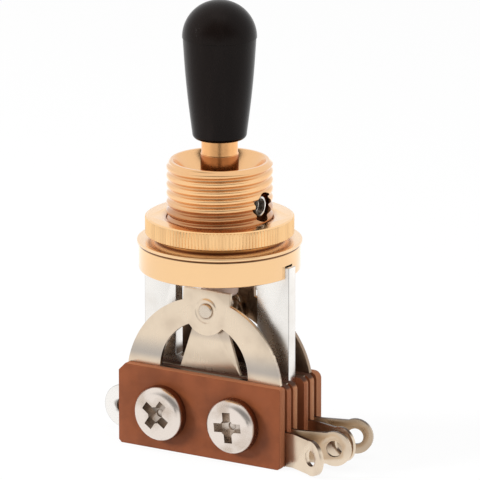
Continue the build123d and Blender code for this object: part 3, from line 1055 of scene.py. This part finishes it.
def grid_piece(name: str, points: np.ndarray, closed_rows: bool) -> bpy.types.Object:
    """Makes a surface from a grid of points whose columns close on themselves.

    Args:
        name: Name of the piece.
        points: Array of rows by columns by 3, in millimetres.
        closed_rows: Whether the last row joins the first one.

    Returns:
        The piece, welded, with its faces turned outwards.
    """
    rows, columns = points.shape[:2]
    index = np.arange(rows * columns).reshape(rows, columns)
    if closed_rows:
        index = np.vstack([index, index[:1]])
    index = np.hstack([index, index[:, :1]])
    quads = np.stack([index[:-1, :-1], index[:-1, 1:], index[1:, 1:], index[1:, :-1]], axis=-1)
    mesh = bpy.data.meshes.new(name)
    mesh.from_pydata((points.reshape(-1, 3) * MM).tolist(), [], quads.reshape(-1, 4).tolist())
    tidy(mesh)
    return piece_of(name, mesh)


def tidy(mesh: bpy.types.Mesh) -> None:
    """Welds a mesh's doubles, closes its poles and turns its faces outwards."""
    work = bmesh.new()
    work.from_mesh(mesh)
    bmesh.ops.remove_doubles(work, verts=work.verts, dist=WELD)
    bmesh.ops.dissolve_degenerate(work, edges=work.edges, dist=SLIVER)
    bmesh.ops.recalc_face_normals(work, faces=work.faces)
    work.to_mesh(mesh)
    work.free()


def piece_of(name: str, mesh: bpy.types.Mesh) -> bpy.types.Object:
    """An object for the mesh, shaded smooth between its sharp edges."""
    mesh.shade_smooth()
    mesh.set_sharp_from_angle(angle=SMOOTH_ANGLE)
    piece = bpy.data.objects.new(name, mesh)
    bpy.context.scene.collection.objects.link(piece)
    return piece


def lathe(name: str, outline: np.ndarray, closed: bool, segments: int) -> bpy.types.Object:
    """Turns an outline about Z.

    Args:
        name: Name of the piece.
        outline: Radius and height of one point in each row, in millimetres.
        closed: Whether the last point joins the first one.
        segments: Steps round the axis.

    Returns:
        The piece.
    """
    grid = turned_grid(outline[:, :1], full_turn(segments), outline[:, 1:])
    return grid_piece(name, grid, closed)


def move_mesh(piece: bpy.types.Object, matrix: Matrix) -> bpy.types.Object:
    """Puts a piece's place into its mesh, in metres."""
    piece.data.transform(matrix)
    return piece


def cut(piece: bpy.types.Object, cutters: Sequence[bpy.types.Object]) -> None:
    """Cuts the cutters out of a piece and removes them. The new faces get material index 1."""
    for thing, number in ((piece, 0), *((cutter, 1) for cutter in cutters)):
        thing.data.materials.clear()
        thing.data.materials.append(None)
        thing.data.materials.append(None)
        thing.data.polygons.foreach_set("material_index", [number] * len(thing.data.polygons))
    for cutter in cutters:
        modifier = piece.modifiers.new("cut", "BOOLEAN")
        modifier.operation = "DIFFERENCE"
        modifier.solver = "EXACT"
        modifier.object = cutter
    bpy.context.view_layer.update()
    graph = bpy.context.evaluated_depsgraph_get()
    mesh = bpy.data.meshes.new_from_object(piece.evaluated_get(graph))
    piece.modifiers.clear()
    old = piece.data
    piece.data = mesh
    bpy.data.meshes.remove(old)
    mesh.set_sharp_from_angle(angle=SMOOTH_ANGLE)
    for cutter in cutters:
        bpy.data.objects.remove(cutter)


def block(name: str, low: Sequence[float], high: Sequence[float]) -> bpy.types.Object:
    """A plain block between two corners, in millimetres, used only as a cutter."""
    corners = np.array([[x, y, z] for x in (0, 1) for y in (0, 1) for z in (0, 1)], float)
    corners = np.array(low) + corners * (np.array(high) - np.array(low))
    faces = [(0, 1, 3, 2), (4, 6, 7, 5), (0, 4, 5, 1), (2, 3, 7, 6), (0, 2, 6, 4), (1, 5, 7, 3)]
    mesh = bpy.data.meshes.new(name)
    mesh.from_pydata((corners * MM).tolist(), [], faces)
    tidy(mesh)
    return piece_of(name, mesh)


def softened_copy(node: str, edge_mm: float, slices_mm: Sequence[float] = ()) -> bpy.types.Object:
    """Copies a rigid piece and eases its sharp edges.

    Args:
        node: The frame's node to copy.
        edge_mm: Width of the eased edges, in millimetres.
        slices_mm: Heights at which the copy gets an edge loop, so that it can bend there.

    Returns:
        The copy, whose eased edges have material index 1.
    """
    mesh = bpy.data.objects[node].data.copy()
    mesh.materials.clear()
    work = bmesh.new()
    work.from_mesh(mesh)
    bmesh.ops.remove_doubles(work, verts=work.verts, dist=WELD)
    bmesh.ops.dissolve_limit(
        work,
        angle_limit=FLAT_ANGLE,
        verts=work.verts,
        edges=work.edges,
        use_dissolve_boundaries=False,
    )
    sharp = [
        edge
        for edge in work.edges
        if len(edge.link_faces) == 2 and edge.calc_face_angle() > SHARP_ANGLE
    ]
    for face in work.faces:
        face.material_index = 0
    eased = bmesh.ops.bevel(
        work,
        geom=sharp,
        offset=edge_mm * MM,
        offset_type="OFFSET",
        segments=2,
        profile=0.5,
        affect="EDGES",
        clamp_overlap=True,
    )
    for face in eased["faces"]:
        face.material_index = 1
    for height in slices_mm:
        everything = work.verts[:] + work.edges[:] + work.faces[:]
        bmesh.ops.bisect_plane(work, geom=everything, plane_co=(0, 0, height * MM), plane_no=(0, 0, 1))
    bmesh.ops.recalc_face_normals(work, faces=work.faces)
    work.to_mesh(mesh)
    work.free()
    return piece_of(node + "_piece", mesh)


@dataclass
class SubAssembly:
    """Shared steps of the sub-assemblies, whose sizes are in millimetres.

    Attributes:
        finishes: The materials that all of them share.
    """

    finishes: Finishes

    def finish(
        self,
        piece: bpy.types.Object,
        finish: str,
        slot: Slot,
        body: Optional[Body] = None,
        replaces: Sequence[str] = (),
        second: Optional[str] = None,
    ) -> bpy.types.Object:
        """Dresses a new piece, hides the nodes that it stands for and lets it ride on its body.

        Args:
            piece: The new piece.
            finish: Name of its finish.
            slot: The record's slot for it; not used.
            body: The body that it rides on, or none if it bends between two.
            replaces: Nodes that it stands for.
            second: Finish of its faces with material index 1: bevels, or what a cutter left.

        Returns:
            The piece.
        """
        index = [face.material_index if second else 0 for face in piece.data.polygons]
        piece.data.materials.clear()
        for name in filter(None, (finish, second)):
            piece.data.materials.append(self.finishes.get(name))
        piece.data.polygons.foreach_set("material_index", index)
        if replaces:
            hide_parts(*replaces)
        if body is not None:
            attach(piece, body.value)
        LOG.info("%s: %s, %d faces", piece.name, finish, len(piece.data.polygons))
        return piece

    def dress(self, node: str, finish: str) -> None:
        """Gives a rigid piece of the frame its finish."""
        piece = bpy.data.objects[node]
        material = self.finishes.get(finish)
        for material_slot in piece.material_slots:
            material_slot.link = "OBJECT"
            material_slot.material = material
        LOG.info("%s: %s", node, finish)


# --- Bushing, washer and nut --------------------------------------------------------------------


@dataclass
class BushingSet(SubAssembly):
    """Threaded bushing with its flange, the panel washer and the knurled nut.

    Heights are counted from the top of the flange. The counterbore is the wider mouth of the cross
    hole for the pin, and its reach is the distance from the axis at which it starts. The slots
    under the flange hold the frame's legs. The bar that cuts the hole reaches past the thread by
    the cutter margin. The thread's mesh has rows_per_turn rows in each turn.
    """

    crest_radius: float = 5.95
    pitch: float = 1.0
    thread_depth: float = 0.33
    groove_share: float = 0.85
    run_out: float = 0.5
    length: float = 9.4
    rim_chamfer: float = 0.45
    flange_radius: float = 9.05
    flange_thickness: float = 3.05
    mouth_radius: float = 5.1
    mouth_bevel: float = 0.35
    mouth_depth: float = 2.6
    bore_radius: float = 3.7
    pin_height: float = 4.7
    pin_hole_radius: float = 1.28
    counterbore_radius: float = 1.65
    counterbore_reach: float = 4.85
    slot_inner: float = 5.04
    slot_half_width: float = 0.755
    slot_roof: float = -1.52
    washer_clearance: float = 0.15
    washer_rounding: float = 0.13
    washer_bore_rounding: float = 0.04
    nut_edge: float = 0.03
    cutter_margin: float = 2.0
    rows_per_turn: int = 22
    segments: int = 288

    def thread_radius(self, angle: np.ndarray, height: np.ndarray) -> np.ndarray:
        """Radius of the thread: one rounded groove per pitch that climbs with the angle.

        The height in pitches less the angle in turns leaves a share of one pitch, which is the
        place across the thread. The groove is a smooth step down towards the middle of that share.
        It deepens over the run-out above the flange, and the chamfer at the rim cuts it off.
        """
        share = np.mod(height / self.pitch - angle / (2 * np.pi), 1.0)
        across = np.clip(np.abs(2 * share - 1) / self.groove_share, 0.0, 1.0)
        groove = 1 - across * across * (3 - 2 * across)
        fade = np.clip(height / self.run_out, 0.0, 1.0)
        radius = self.crest_radius - self.thread_depth * groove * fade
        chamfer = self.crest_radius - np.clip(height - (self.length - self.rim_chamfer), 0.0, None)
        return np.minimum(radius, chamfer)

    def bushing(self) -> bpy.types.Object:
        """Threaded bushing: a closed outline turned about Z, with the thread on its long side."""
        flange = rounded(
            [
                (self.bore_radius, -self.flange_thickness / 2, 0.0),
                (self.bore_radius, -self.flange_thickness, 0.15),
                (self.flange_radius, -self.flange_thickness, 0.22),
                (self.flange_radius, 0.0, 0.26),
                (self.crest_radius, 0.0, 0.0),
            ]
        )
        rim = rounded(
            [
                (self.crest_radius - self.rim_chamfer, self.length, 0.0),
                (self.mouth_radius + 0.12, self.length, 0.1),
                (self.mouth_radius - 0.1, self.length - self.mouth_bevel, 0.3),
                (self.bore_radius, self.length - self.mouth_depth, 0.5),
                (self.bore_radius, -self.flange_thickness / 2, 0.0),
            ]
        )
        inside = rim[:-1]
        turns = self.length / self.pitch
        heights = np.linspace(0.02, self.length - 0.02, int(turns * self.rows_per_turn))
        angle = full_turn(self.segments)
        thread = self.thread_radius(angle[None, :], heights[:, None])
        radius = np.vstack([flange[:, :1] + 0 * angle, thread, inside[:, :1] + 0 * angle])
        height = np.concatenate([flange[:, 1], heights, inside[:, 1]])[:, None]
        grid = turned_grid(radius, angle, height)
        piece = grid_piece("threaded_bushing", grid, closed_rows=True)
        cut(piece, [self._pin_hole_cutter(), *self._leg_slot_cutters()])
        return piece

    def _pin_hole_cutter(self) -> bpy.types.Object:
        """Stepped bar along X: narrow inside, wider where the hole opens through the thread."""
        clear = self.crest_radius + self.cutter_margin
        half = np.array(
            [
                (self.pin_hole_radius, self.counterbore_reach),
                (self.counterbore_radius, self.counterbore_reach),
                (self.counterbore_radius, clear),
                (0.0, clear),
            ]
        )
        outline = np.vstack([half[::-1] * (1.0, -1.0), half])
        bar = lathe("pin_hole_cutter", outline, closed=False, segments=48)
        turn = Matrix.Translation((0, 0, self.pin_height * MM)) @ Matrix.Rotation(math.pi / 2, 4, "Y")
        return move_mesh(bar, turn)

    def _leg_slot_cutters(self) -> list[bpy.types.Object]:
        """Blocks for the two slots under the flange that hold the frame's legs."""
        outer = self.flange_radius + 1.0
        half, floor, roof = self.slot_half_width, -self.flange_thickness - 1.0, self.slot_roof
        return [
            block("slot_right", (self.slot_inner, -half, floor), (outer, half, roof)),
            block("slot_left", (-outer, -half, floor), (-self.slot_inner, half, roof)),
        ]

    def washer(self) -> bpy.types.Object:
        """Panel washer: a flat ring with rounded rims."""
        low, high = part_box("panel_washer")
        outer, thickness = high.x / MM, (high.z - low.z) / MM
        inner = self.crest_radius + self.washer_clearance
        ring = rounded(
            [
                (inner, thickness / 2, 0.0),
                (inner, 0.0, self.washer_bore_rounding),
                (outer, 0.0, self.washer_rounding),
                (outer, thickness, self.washer_rounding),
                (inner, thickness, self.washer_bore_rounding),
                (inner, thickness / 2 + 0.001, 0.0),
            ],
            steps=6,
        )
        piece = lathe("panel_washer_piece", ring, closed=True, segments=224)
        return move_mesh(piece, Matrix.Translation((0, 0, low.z)))

    def build(self) -> None:
        """Makes and dresses the set."""
        self.finish(self.bushing(), "thread", Slot.GOLD, Body.FRAME, ["bushing"], "bore")
        self.finish(self.washer(), "washer", Slot.GOLD, Body.FRAME, ["panel_washer"])
        nut = softened_copy("knurled_nut", self.nut_edge)
        self.finish(nut, "nut", Slot.GOLD, Body.NUT, ["knurled_nut"])


# --- Lever --------------------------------------------------------------------------------------


@dataclass
class LeverSet(SubAssembly):
    """The lever, its insulating sleeve, the pivot pin and the black tip.

    The tip's dome overhangs its taper by the ledge. The edge is the tip's lower rim, and the bore
    holds the lever.
    """

    tip_radius: float = 4.17
    dome_height: float = 23.4
    waist_radius: float = 3.05
    bottom_height: float = 11.85
    edge_radius: float = 0.6
    ledge: float = 0.07
    ledge_height: float = 0.04
    bulge: float = 0.12
    bore_radius: float = 2.06
    bore_top: float = 20.45
    bore_rounding: float = 0.12
    lever_edge: float = 0.05
    pin_edge: float = 0.03

    def tip(self) -> bpy.types.Object:
        """Bullet tip: a bowed taper under a half sphere, with a fine ledge between them.

        The taper's radius goes evenly from waist to dome, plus a bow that is a half sine wave.
        The dome's radius and height are the cosine and sine of the same angle.
        """
        share = np.linspace(0.0, 1.0, 24)
        taper_low = self.bottom_height + self.edge_radius
        widening = self.tip_radius - self.ledge - self.waist_radius
        radius = self.waist_radius + share * widening + self.bulge * np.sin(np.pi * share)
        height = taper_low + share * (self.dome_height - self.ledge_height - taper_low)
        taper = np.column_stack([radius, height])
        turn = np.linspace(0.0, np.pi / 2, 36)
        dome = np.column_stack(
            [self.tip_radius * np.cos(turn), self.dome_height + self.tip_radius * np.sin(turn)]
        )
        edge = rounded(
            [
                (0.0, self.bore_top, 0.0),
                (self.bore_radius, self.bore_top, 0.0),
                (self.bore_radius, self.bottom_height, self.bore_rounding),
                (self.waist_radius, self.bottom_height, self.edge_radius * 0.98),
                (self.waist_radius, taper_low, 0.0),
            ],
            steps=8,
        )
        outline = np.vstack([edge[:-1], taper, dome])
        return lathe("switch_tip_piece", outline, closed=False, segments=160)

    def build(self) -> None:
        """Makes and dresses the set."""
        self.finish(self.tip(), "tip", Slot.BLACK_PLASTIC, Body.LEVER, ["switch_tip"])
        lever = softened_copy("lever", self.lever_edge)
        self.finish(lever, "lever", Slot.LEVER_PLATE, Body.LEVER, ["lever"])
        self.dress("lever_sleeve", "nylon")
        pin = softened_copy("pivot_pin", self.pin_edge)
        self.finish(pin, "steel", Slot.STEEL, Body.PIVOT, ["pivot_pin"])


# --- Frame plate and insulators -----------------------------------------------------------------


@dataclass
class FrameAndStack(SubAssembly):
    """The stamped frame plate and the six insulating plates."""

    plate_edge: float = 0.07
    board_edge: float = 0.06

    def build(self) -> None:
        """Makes and dresses the plates."""
        plate = softened_copy("frame_plate", self.plate_edge)
        self.finish(plate, "nickel", Slot.NICKEL, Body.FRAME, ["frame_plate"], "nickel edge")
        for place in ("inner", "middle", "outer"):
            for side in ("front", "back"):
                node = f"{place}_insulator_{side}"
                board = softened_copy(node, self.board_edge)
                self.finish(board, "phenolic", Slot.PHENOLIC, Body.FRAME, [node])


# --- Leaves and contacts ------------------------------------------------------------------------


@dataclass
class LeafSet(SubAssembly):
    """Spring leaves that bend above the clamp, fixed leaves and contact rivets.

    The bend starts at bend_rise over the clamp and is bend_length long. Slices that are as high as
    slice_height cut the leaf across it; nothing here bends the leaf.
    """

    edge: float = 0.04
    bend_rise: float = 0.05
    bend_length: float = 3.2
    slice_height: float = 0.3

    def spring_leaf(self, side: str, body: Body) -> None:
        """Spring leaf, sliced where it bends above the clamp; it rides on no body."""
        node = side + "_spring_leaf"
        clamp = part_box("outer_insulator_" + side)[1].z / MM + self.bend_rise
        slices = np.arange(clamp, clamp + self.bend_length + self.slice_height, self.slice_height)
        leaf = softened_copy(node, self.edge, slices.tolist())
        self.finish(leaf, "leaf", Slot.LEAF, None, [node])
        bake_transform(leaf)

    def build(self) -> None:
        """Makes and dresses the leaves and contacts."""
        for side, body in (("front", Body.FRONT_CONTACT), ("back", Body.BACK_CONTACT)):
            self.spring_leaf(side, body)
            for kind, finish, slot, carrier in (
                ("_fixed_leaf", "tongue", Slot.LEAF, Body.FRAME),
                ("_moving_contact", "silver", Slot.CONTACT, body),
                ("_fixed_contact", "silver", Slot.CONTACT, Body.FRAME),
            ):
                piece = softened_copy(side + kind, self.edge)
                self.finish(piece, finish, slot, carrier, [side + kind])


# --- Clamping screws ----------------------------------------------------------------------------


@dataclass
class ScrewSet(SubAssembly):
    """Two pan head screws with cross recesses, their insulating tubes and their nuts.

    The dome is how much higher the head is in its middle than over its rim. The point is the
    chamfer on the screw's end. The recess has a span and a width at its mouth and on its floor.
    Its cone has one radius at the mouth and one at its end, where its side is as far under the
    floor as the first of its depths, and its tip as the second. The recess turns are those of the
    left and the right screw, in degrees.
    """

    head_radius: float = 3.15
    head_height: float = 1.7
    head_rounding: float = 0.95
    dome: float = 0.08
    shank_radius: float = 1.5
    pitch: float = 0.5
    thread_depth: float = 0.2
    threaded: float = 2.2
    rows_per_turn: int = 12
    point: float = 0.35
    recess_depth: float = 1.15
    recess_mouth: Span = (3.6, 1.05)
    recess_floor: Span = (2.7, 0.75)
    cone_radii: Span = (0.98, 0.4)
    cone_depths: Span = (0.2, 0.35)
    recess_turns: Span = (-35.0, 5.5)
    nut_edge: float = 0.12
    segments: int = 96

    def screw(self, side: int, turn: float) -> bpy.types.Object:
        """One screw: its head's outline and threaded end turned about its axis, less the recess.

        The thread's depth follows a cosine over each pitch, and its height climbs with the angle.

        Args:
            side: -1 for the left screw, 1 for the right one.
            turn: Angle of the cross recess, in degrees.

        Returns:
            The screw, in its place with its head towards -Y.
        """
        low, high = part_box("clamp_screws")
        end = self.head_height - (high.y - low.y) / MM
        head = rounded(
            [
                (0.0, self.head_height, 0.0),
                (self.head_radius, self.head_height - self.dome, self.head_rounding),
                (self.head_radius, 0.0, 0.12),
                (self.shank_radius, 0.0, 0.05),
                (self.shank_radius, end + self.threaded, 0.0),
            ],
            steps=8,
        )
        tip = np.array(
            [
                (self.shank_radius, end + self.point),
                (self.shank_radius - self.point, end),
                (0.0, end),
            ]
        )
        angle = full_turn(self.segments)
        step = self.pitch / self.rows_per_turn
        heights = np.arange(end + self.threaded, end + self.point, -step)
        share = np.mod(heights[:, None] / self.pitch + angle[None, :] / (2 * np.pi), 1.0)
        groove = 0.5 + 0.5 * np.cos(2 * np.pi * share)
        shank = self.shank_radius - self.thread_depth * groove
        radius = np.vstack([head[:, :1] + 0 * angle, shank, tip[:, :1] + 0 * angle])
        height = np.concatenate([head[:, 1], heights, tip[:, 1]])[:, None]
        grid = turned_grid(radius, angle, height)
        name = "clamp_screw_" + ("left" if side < 0 else "right")
        piece = grid_piece(name, grid, closed_rows=False)
        cut(piece, self._recess_cutters(turn))
        centre = Vector((side * (high.x - self.head_radius * MM), low.y, (low.z + high.z) / 2))
        centre.y += self.head_height * MM
        return move_mesh(piece, Matrix.Translation(centre) @ Matrix.Rotation(math.pi / 2, 4, "X"))

    def _recess_cutters(self, turn: float) -> list[bpy.types.Object]:
        """Two crossed wedges and a cone: the recess narrows towards its floor."""
        top, floor = self.head_height + 0.1, self.head_height - self.recess_depth
        halfway = (top + floor) / 2 * MM
        cutters = []
        for quarter in (0.0, 90.0):
            wing = block("recess_wing", (-0.5, -0.5, floor), (0.5, 0.5, top))
            for vertex in wing.data.vertices:
                span, width = self.recess_mouth if vertex.co.z > halfway else self.recess_floor
                vertex.co.x *= span
                vertex.co.y *= width
            cutters.append(move_mesh(wing, Matrix.Rotation(math.radians(turn + quarter), 4, "Z")))
        wide, narrow = self.cone_radii
        side_depth, point_depth = self.cone_depths
        outline = np.array(
            [(0.0, top), (wide, top), (narrow, floor - side_depth), (0.0, floor - point_depth)]
        )
        cutters.append(lathe("recess_cone", outline, closed=False, segments=32))
        return cutters

    def build(self) -> None:
        """Makes and dresses the screws, tubes and nuts."""
        for side, turn in zip((-1, 1), self.recess_turns):
            piece = self.screw(side, turn)
            self.finish(piece, "screw", Slot.NICKEL, Body.FRAME, ["clamp_screws"], "recess")
        nuts = softened_copy("clamp_nuts", self.nut_edge)
        self.finish(nuts, "screw", Slot.NICKEL, Body.FRAME, ["clamp_nuts"])
        self.dress("screw_tubes", "nylon")


# --- Studio -------------------------------------------------------------------------------------


@dataclass(frozen=True)
class Lamp:
    """A round area lamp that is aimed at the object.

    Attributes:
        name: Name of the lamp.
        azimuth: Its direction round Z, in degrees.
        elevation: Its direction above the horizon, in degrees.
        size: Diameter of its disk, in metres.
        share: Its share of the lamp level.
    """

    name: str
    azimuth: float
    elevation: float
    size: float
    share: float


@dataclass
class Studio:
    """Camera, lamps, surroundings and floor.

    Attributes:
        azimuth: Direction of the camera round Z, in degrees.
        elevation: Its direction above the horizon, in degrees.
        distance: Its distance from the point it looks at, in metres.
        look_right: How far that point lies to the right of the origin, in millimetres.
        look_up: How far it lies above the origin, in millimetres.
        view_angle: Angle of view, in degrees.
        lens_sensor: Width of the sensor, in millimetres.
        lamp_level: Brightness that the lamps' shares are taken of.
        lamp_distance: Distance of the lamps from the origin, in metres.
        lamps: The lamps.
        ambient: Light from all round on matt surfaces.
        room: Share by which reflections of the room above and behind the camera are darkened.
        room_forward: How squarely a ray goes towards the camera where the room starts and is full.
        room_height: Rise of the ray at which the room starts and is full.
        operator: Share by which reflections of the person at the camera are darkened.
        operator_forward: As room_forward, for that person.
        operator_height: As room_height, for that person.
        floor_reach: Half the width of the floor, in metres.
        floor_colour: Colour of the floor.
        floor_own_light: Share of the floor that shows as even white to the camera.
        back_glow: How much brighter reflections of the floor are behind the object.
        back_glow_start: Distances behind the origin over which that starts, in metres.
    """

    azimuth: float = 31.84
    elevation: float = 15.19
    distance: float = 0.784
    look_right: float = 2.267
    look_up: float = 0.076
    view_angle: float = 3.916
    lens_sensor: float = 36.0
    lamp_level: float = 2.88
    lamp_distance: float = 0.5
    lamps: tuple[Lamp, ...] = (
        Lamp("key", azimuth=-50.0, elevation=20.0, size=0.16, share=1.25),
        Lamp("fill", azimuth=75.0, elevation=30.0, size=0.34, share=0.35),
        Lamp("top", azimuth=20.0, elevation=80.0, size=0.40, share=0.5),
    )
    ambient: float = 0.38
    room: float = 0.72
    room_forward: Span = (0.2, 0.75)
    room_height: Span = (-0.05, 0.35)
    operator: float = 0.8
    operator_forward: Span = (0.95, 0.995)
    operator_height: Span = (-0.35, -0.1)
    floor_reach: float = 6.0
    floor_colour: Colour = (0.9, 0.9, 0.9)
    floor_own_light: float = 0.9
    back_glow: float = 0.15
    back_glow_start: Span = (0.02, 0.1)

    @staticmethod
    def _towards(azimuth: float, elevation: float) -> Vector:
        """Unit vector from the object to a place at that azimuth and elevation, in degrees."""
        turn, rise = math.radians(azimuth), math.radians(elevation)
        return Vector(
            (math.sin(turn) * math.cos(rise), -math.cos(turn) * math.cos(rise), math.sin(rise))
        )

    def camera(self) -> None:
        """Long lens aimed a little to the right of the bushing's axis."""
        data = bpy.data.cameras.new("camera")
        data.sensor_width = self.lens_sensor
        data.angle = math.radians(self.view_angle)
        data.clip_start, data.clip_end = 0.05, 20.0
        camera = bpy.data.objects.new("camera", data)
        bpy.context.scene.collection.objects.link(camera)
        outward = self._towards(self.azimuth, self.elevation)
        turn = math.radians(self.azimuth)
        right = Vector((math.cos(turn), math.sin(turn), 0.0))
        up = outward.cross(right)
        target = (right * self.look_right + up * self.look_up) * MM
        camera.location = target + outward * self.distance
        camera.rotation_euler = (-outward).to_track_quat("-Z", "Y").to_euler()
        bpy.context.scene.camera = camera

    def lights(self) -> None:
        """Soft area lamps that light the object but don't show in its reflections."""
        for lamp in self.lamps:
            data = bpy.data.lights.new(lamp.name, "AREA")
            data.shape = "DISK"
            data.size = lamp.size
            data.energy = self.lamp_level * lamp.share * self.lamp_distance**2 * math.pi
            light = bpy.data.objects.new(lamp.name, data)
            light.visible_glossy = False
            outward = self._towards(lamp.azimuth, lamp.elevation)
            light.location = outward * self.lamp_distance
            light.rotation_euler = (-outward).to_track_quat("-Z", "Y").to_euler()
            bpy.context.scene.collection.objects.link(light)

    def surroundings(self) -> None:
        """White to the camera, and in reflections with a darker room and person behind the camera."""
        world = bpy.data.worlds.new("studio")
        bpy.context.scene.world = world
        world.use_nodes = True
        graph = Graph(world.node_tree)
        direction = graph.node("ShaderNodeTexCoord", output="Generated")
        forward = graph.dot(direction, self._towards(self.azimuth, 0.0))
        height = graph.axes(direction)[2]
        room = forward.rise(*self.room_forward) * height.rise(*self.room_height)
        operator = forward.rise(*self.operator_forward) * height.rise(*self.operator_height)
        reflected = 1.0 - (room * self.room).at_least(operator * self.operator)
        camera, glossy = graph.ray("Camera"), graph.ray("Glossy")
        lit = glossy * reflected + (1.0 - glossy) * self.ambient
        sockets = {"Color": (1.0, 1.0, 1.0), "Strength": camera + (1.0 - camera) * lit}
        shader = graph.node("ShaderNodeBackground", {}, sockets)
        graph.node("ShaderNodeOutputWorld", {}, {"Surface": shader})

    def floor(self) -> None:
        """Pale floor at the foot of the stack, white to the camera with a soft shadow."""
        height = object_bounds()[0].z
        mesh = bpy.data.meshes.new("floor")
        signs = ((-1, -1), (1, -1), (1, 1), (-1, 1))
        corners = [(x * self.floor_reach, y * self.floor_reach, height) for x, y in signs]
        mesh.from_pydata(corners, [], [(0, 1, 2, 3)])
        floor = bpy.data.objects.new("floor", mesh)
        bpy.context.scene.collection.objects.link(floor)
        material, graph = new_material("floor")
        camera, glossy = graph.ray("Camera"), graph.ray("Glossy")
        behind = graph.dot(graph.place(), self._towards(self.azimuth + 180.0, 0.0))
        level = 1.0 + behind.rise(*self.back_glow_start) * (1.0 - camera) * self.back_glow
        plain = graph.node("ShaderNodeBsdfDiffuse", {}, {"Color": self.floor_colour})
        glow = graph.node("ShaderNodeEmission", {}, {"Color": (1.0, 1.0, 1.0), "Strength": level})
        share = (camera * self.floor_own_light).at_least(glossy)
        shader = graph.node("ShaderNodeMixShader", {}, {0: share, 1: plain, 2: glow})
        graph.node("ShaderNodeOutputMaterial", {}, {"Surface": shader})
        floor.data.materials.append(material)
        floor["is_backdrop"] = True

    def build(self) -> None:
        """Sets up the studio."""
        self.camera()
        self.lights()
        self.surroundings()
        self.floor()
        bpy.context.scene.view_settings.view_transform = "Standard"


def rows(corners: Sequence[Vector]) -> list[list[float]]:
    """Corners as plain lists of numbers."""
    return [[float(value) for value in corner] for corner in corners]


def main() -> None:
    """Builds the switch piece by piece, then the studio."""
    logging.basicConfig(level=logging.INFO, format="%(name)s: %(message)s")
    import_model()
    finishes = Finishes()
    for sub_assembly in (
        BushingSet(finishes),
        LeverSet(finishes),
        FrameAndStack(finishes),
        LeafSet(finishes),
        ScrewSet(finishes),
    ):
        sub_assembly.build()
    Studio().build()


if __name__ == "__main__":
    main()
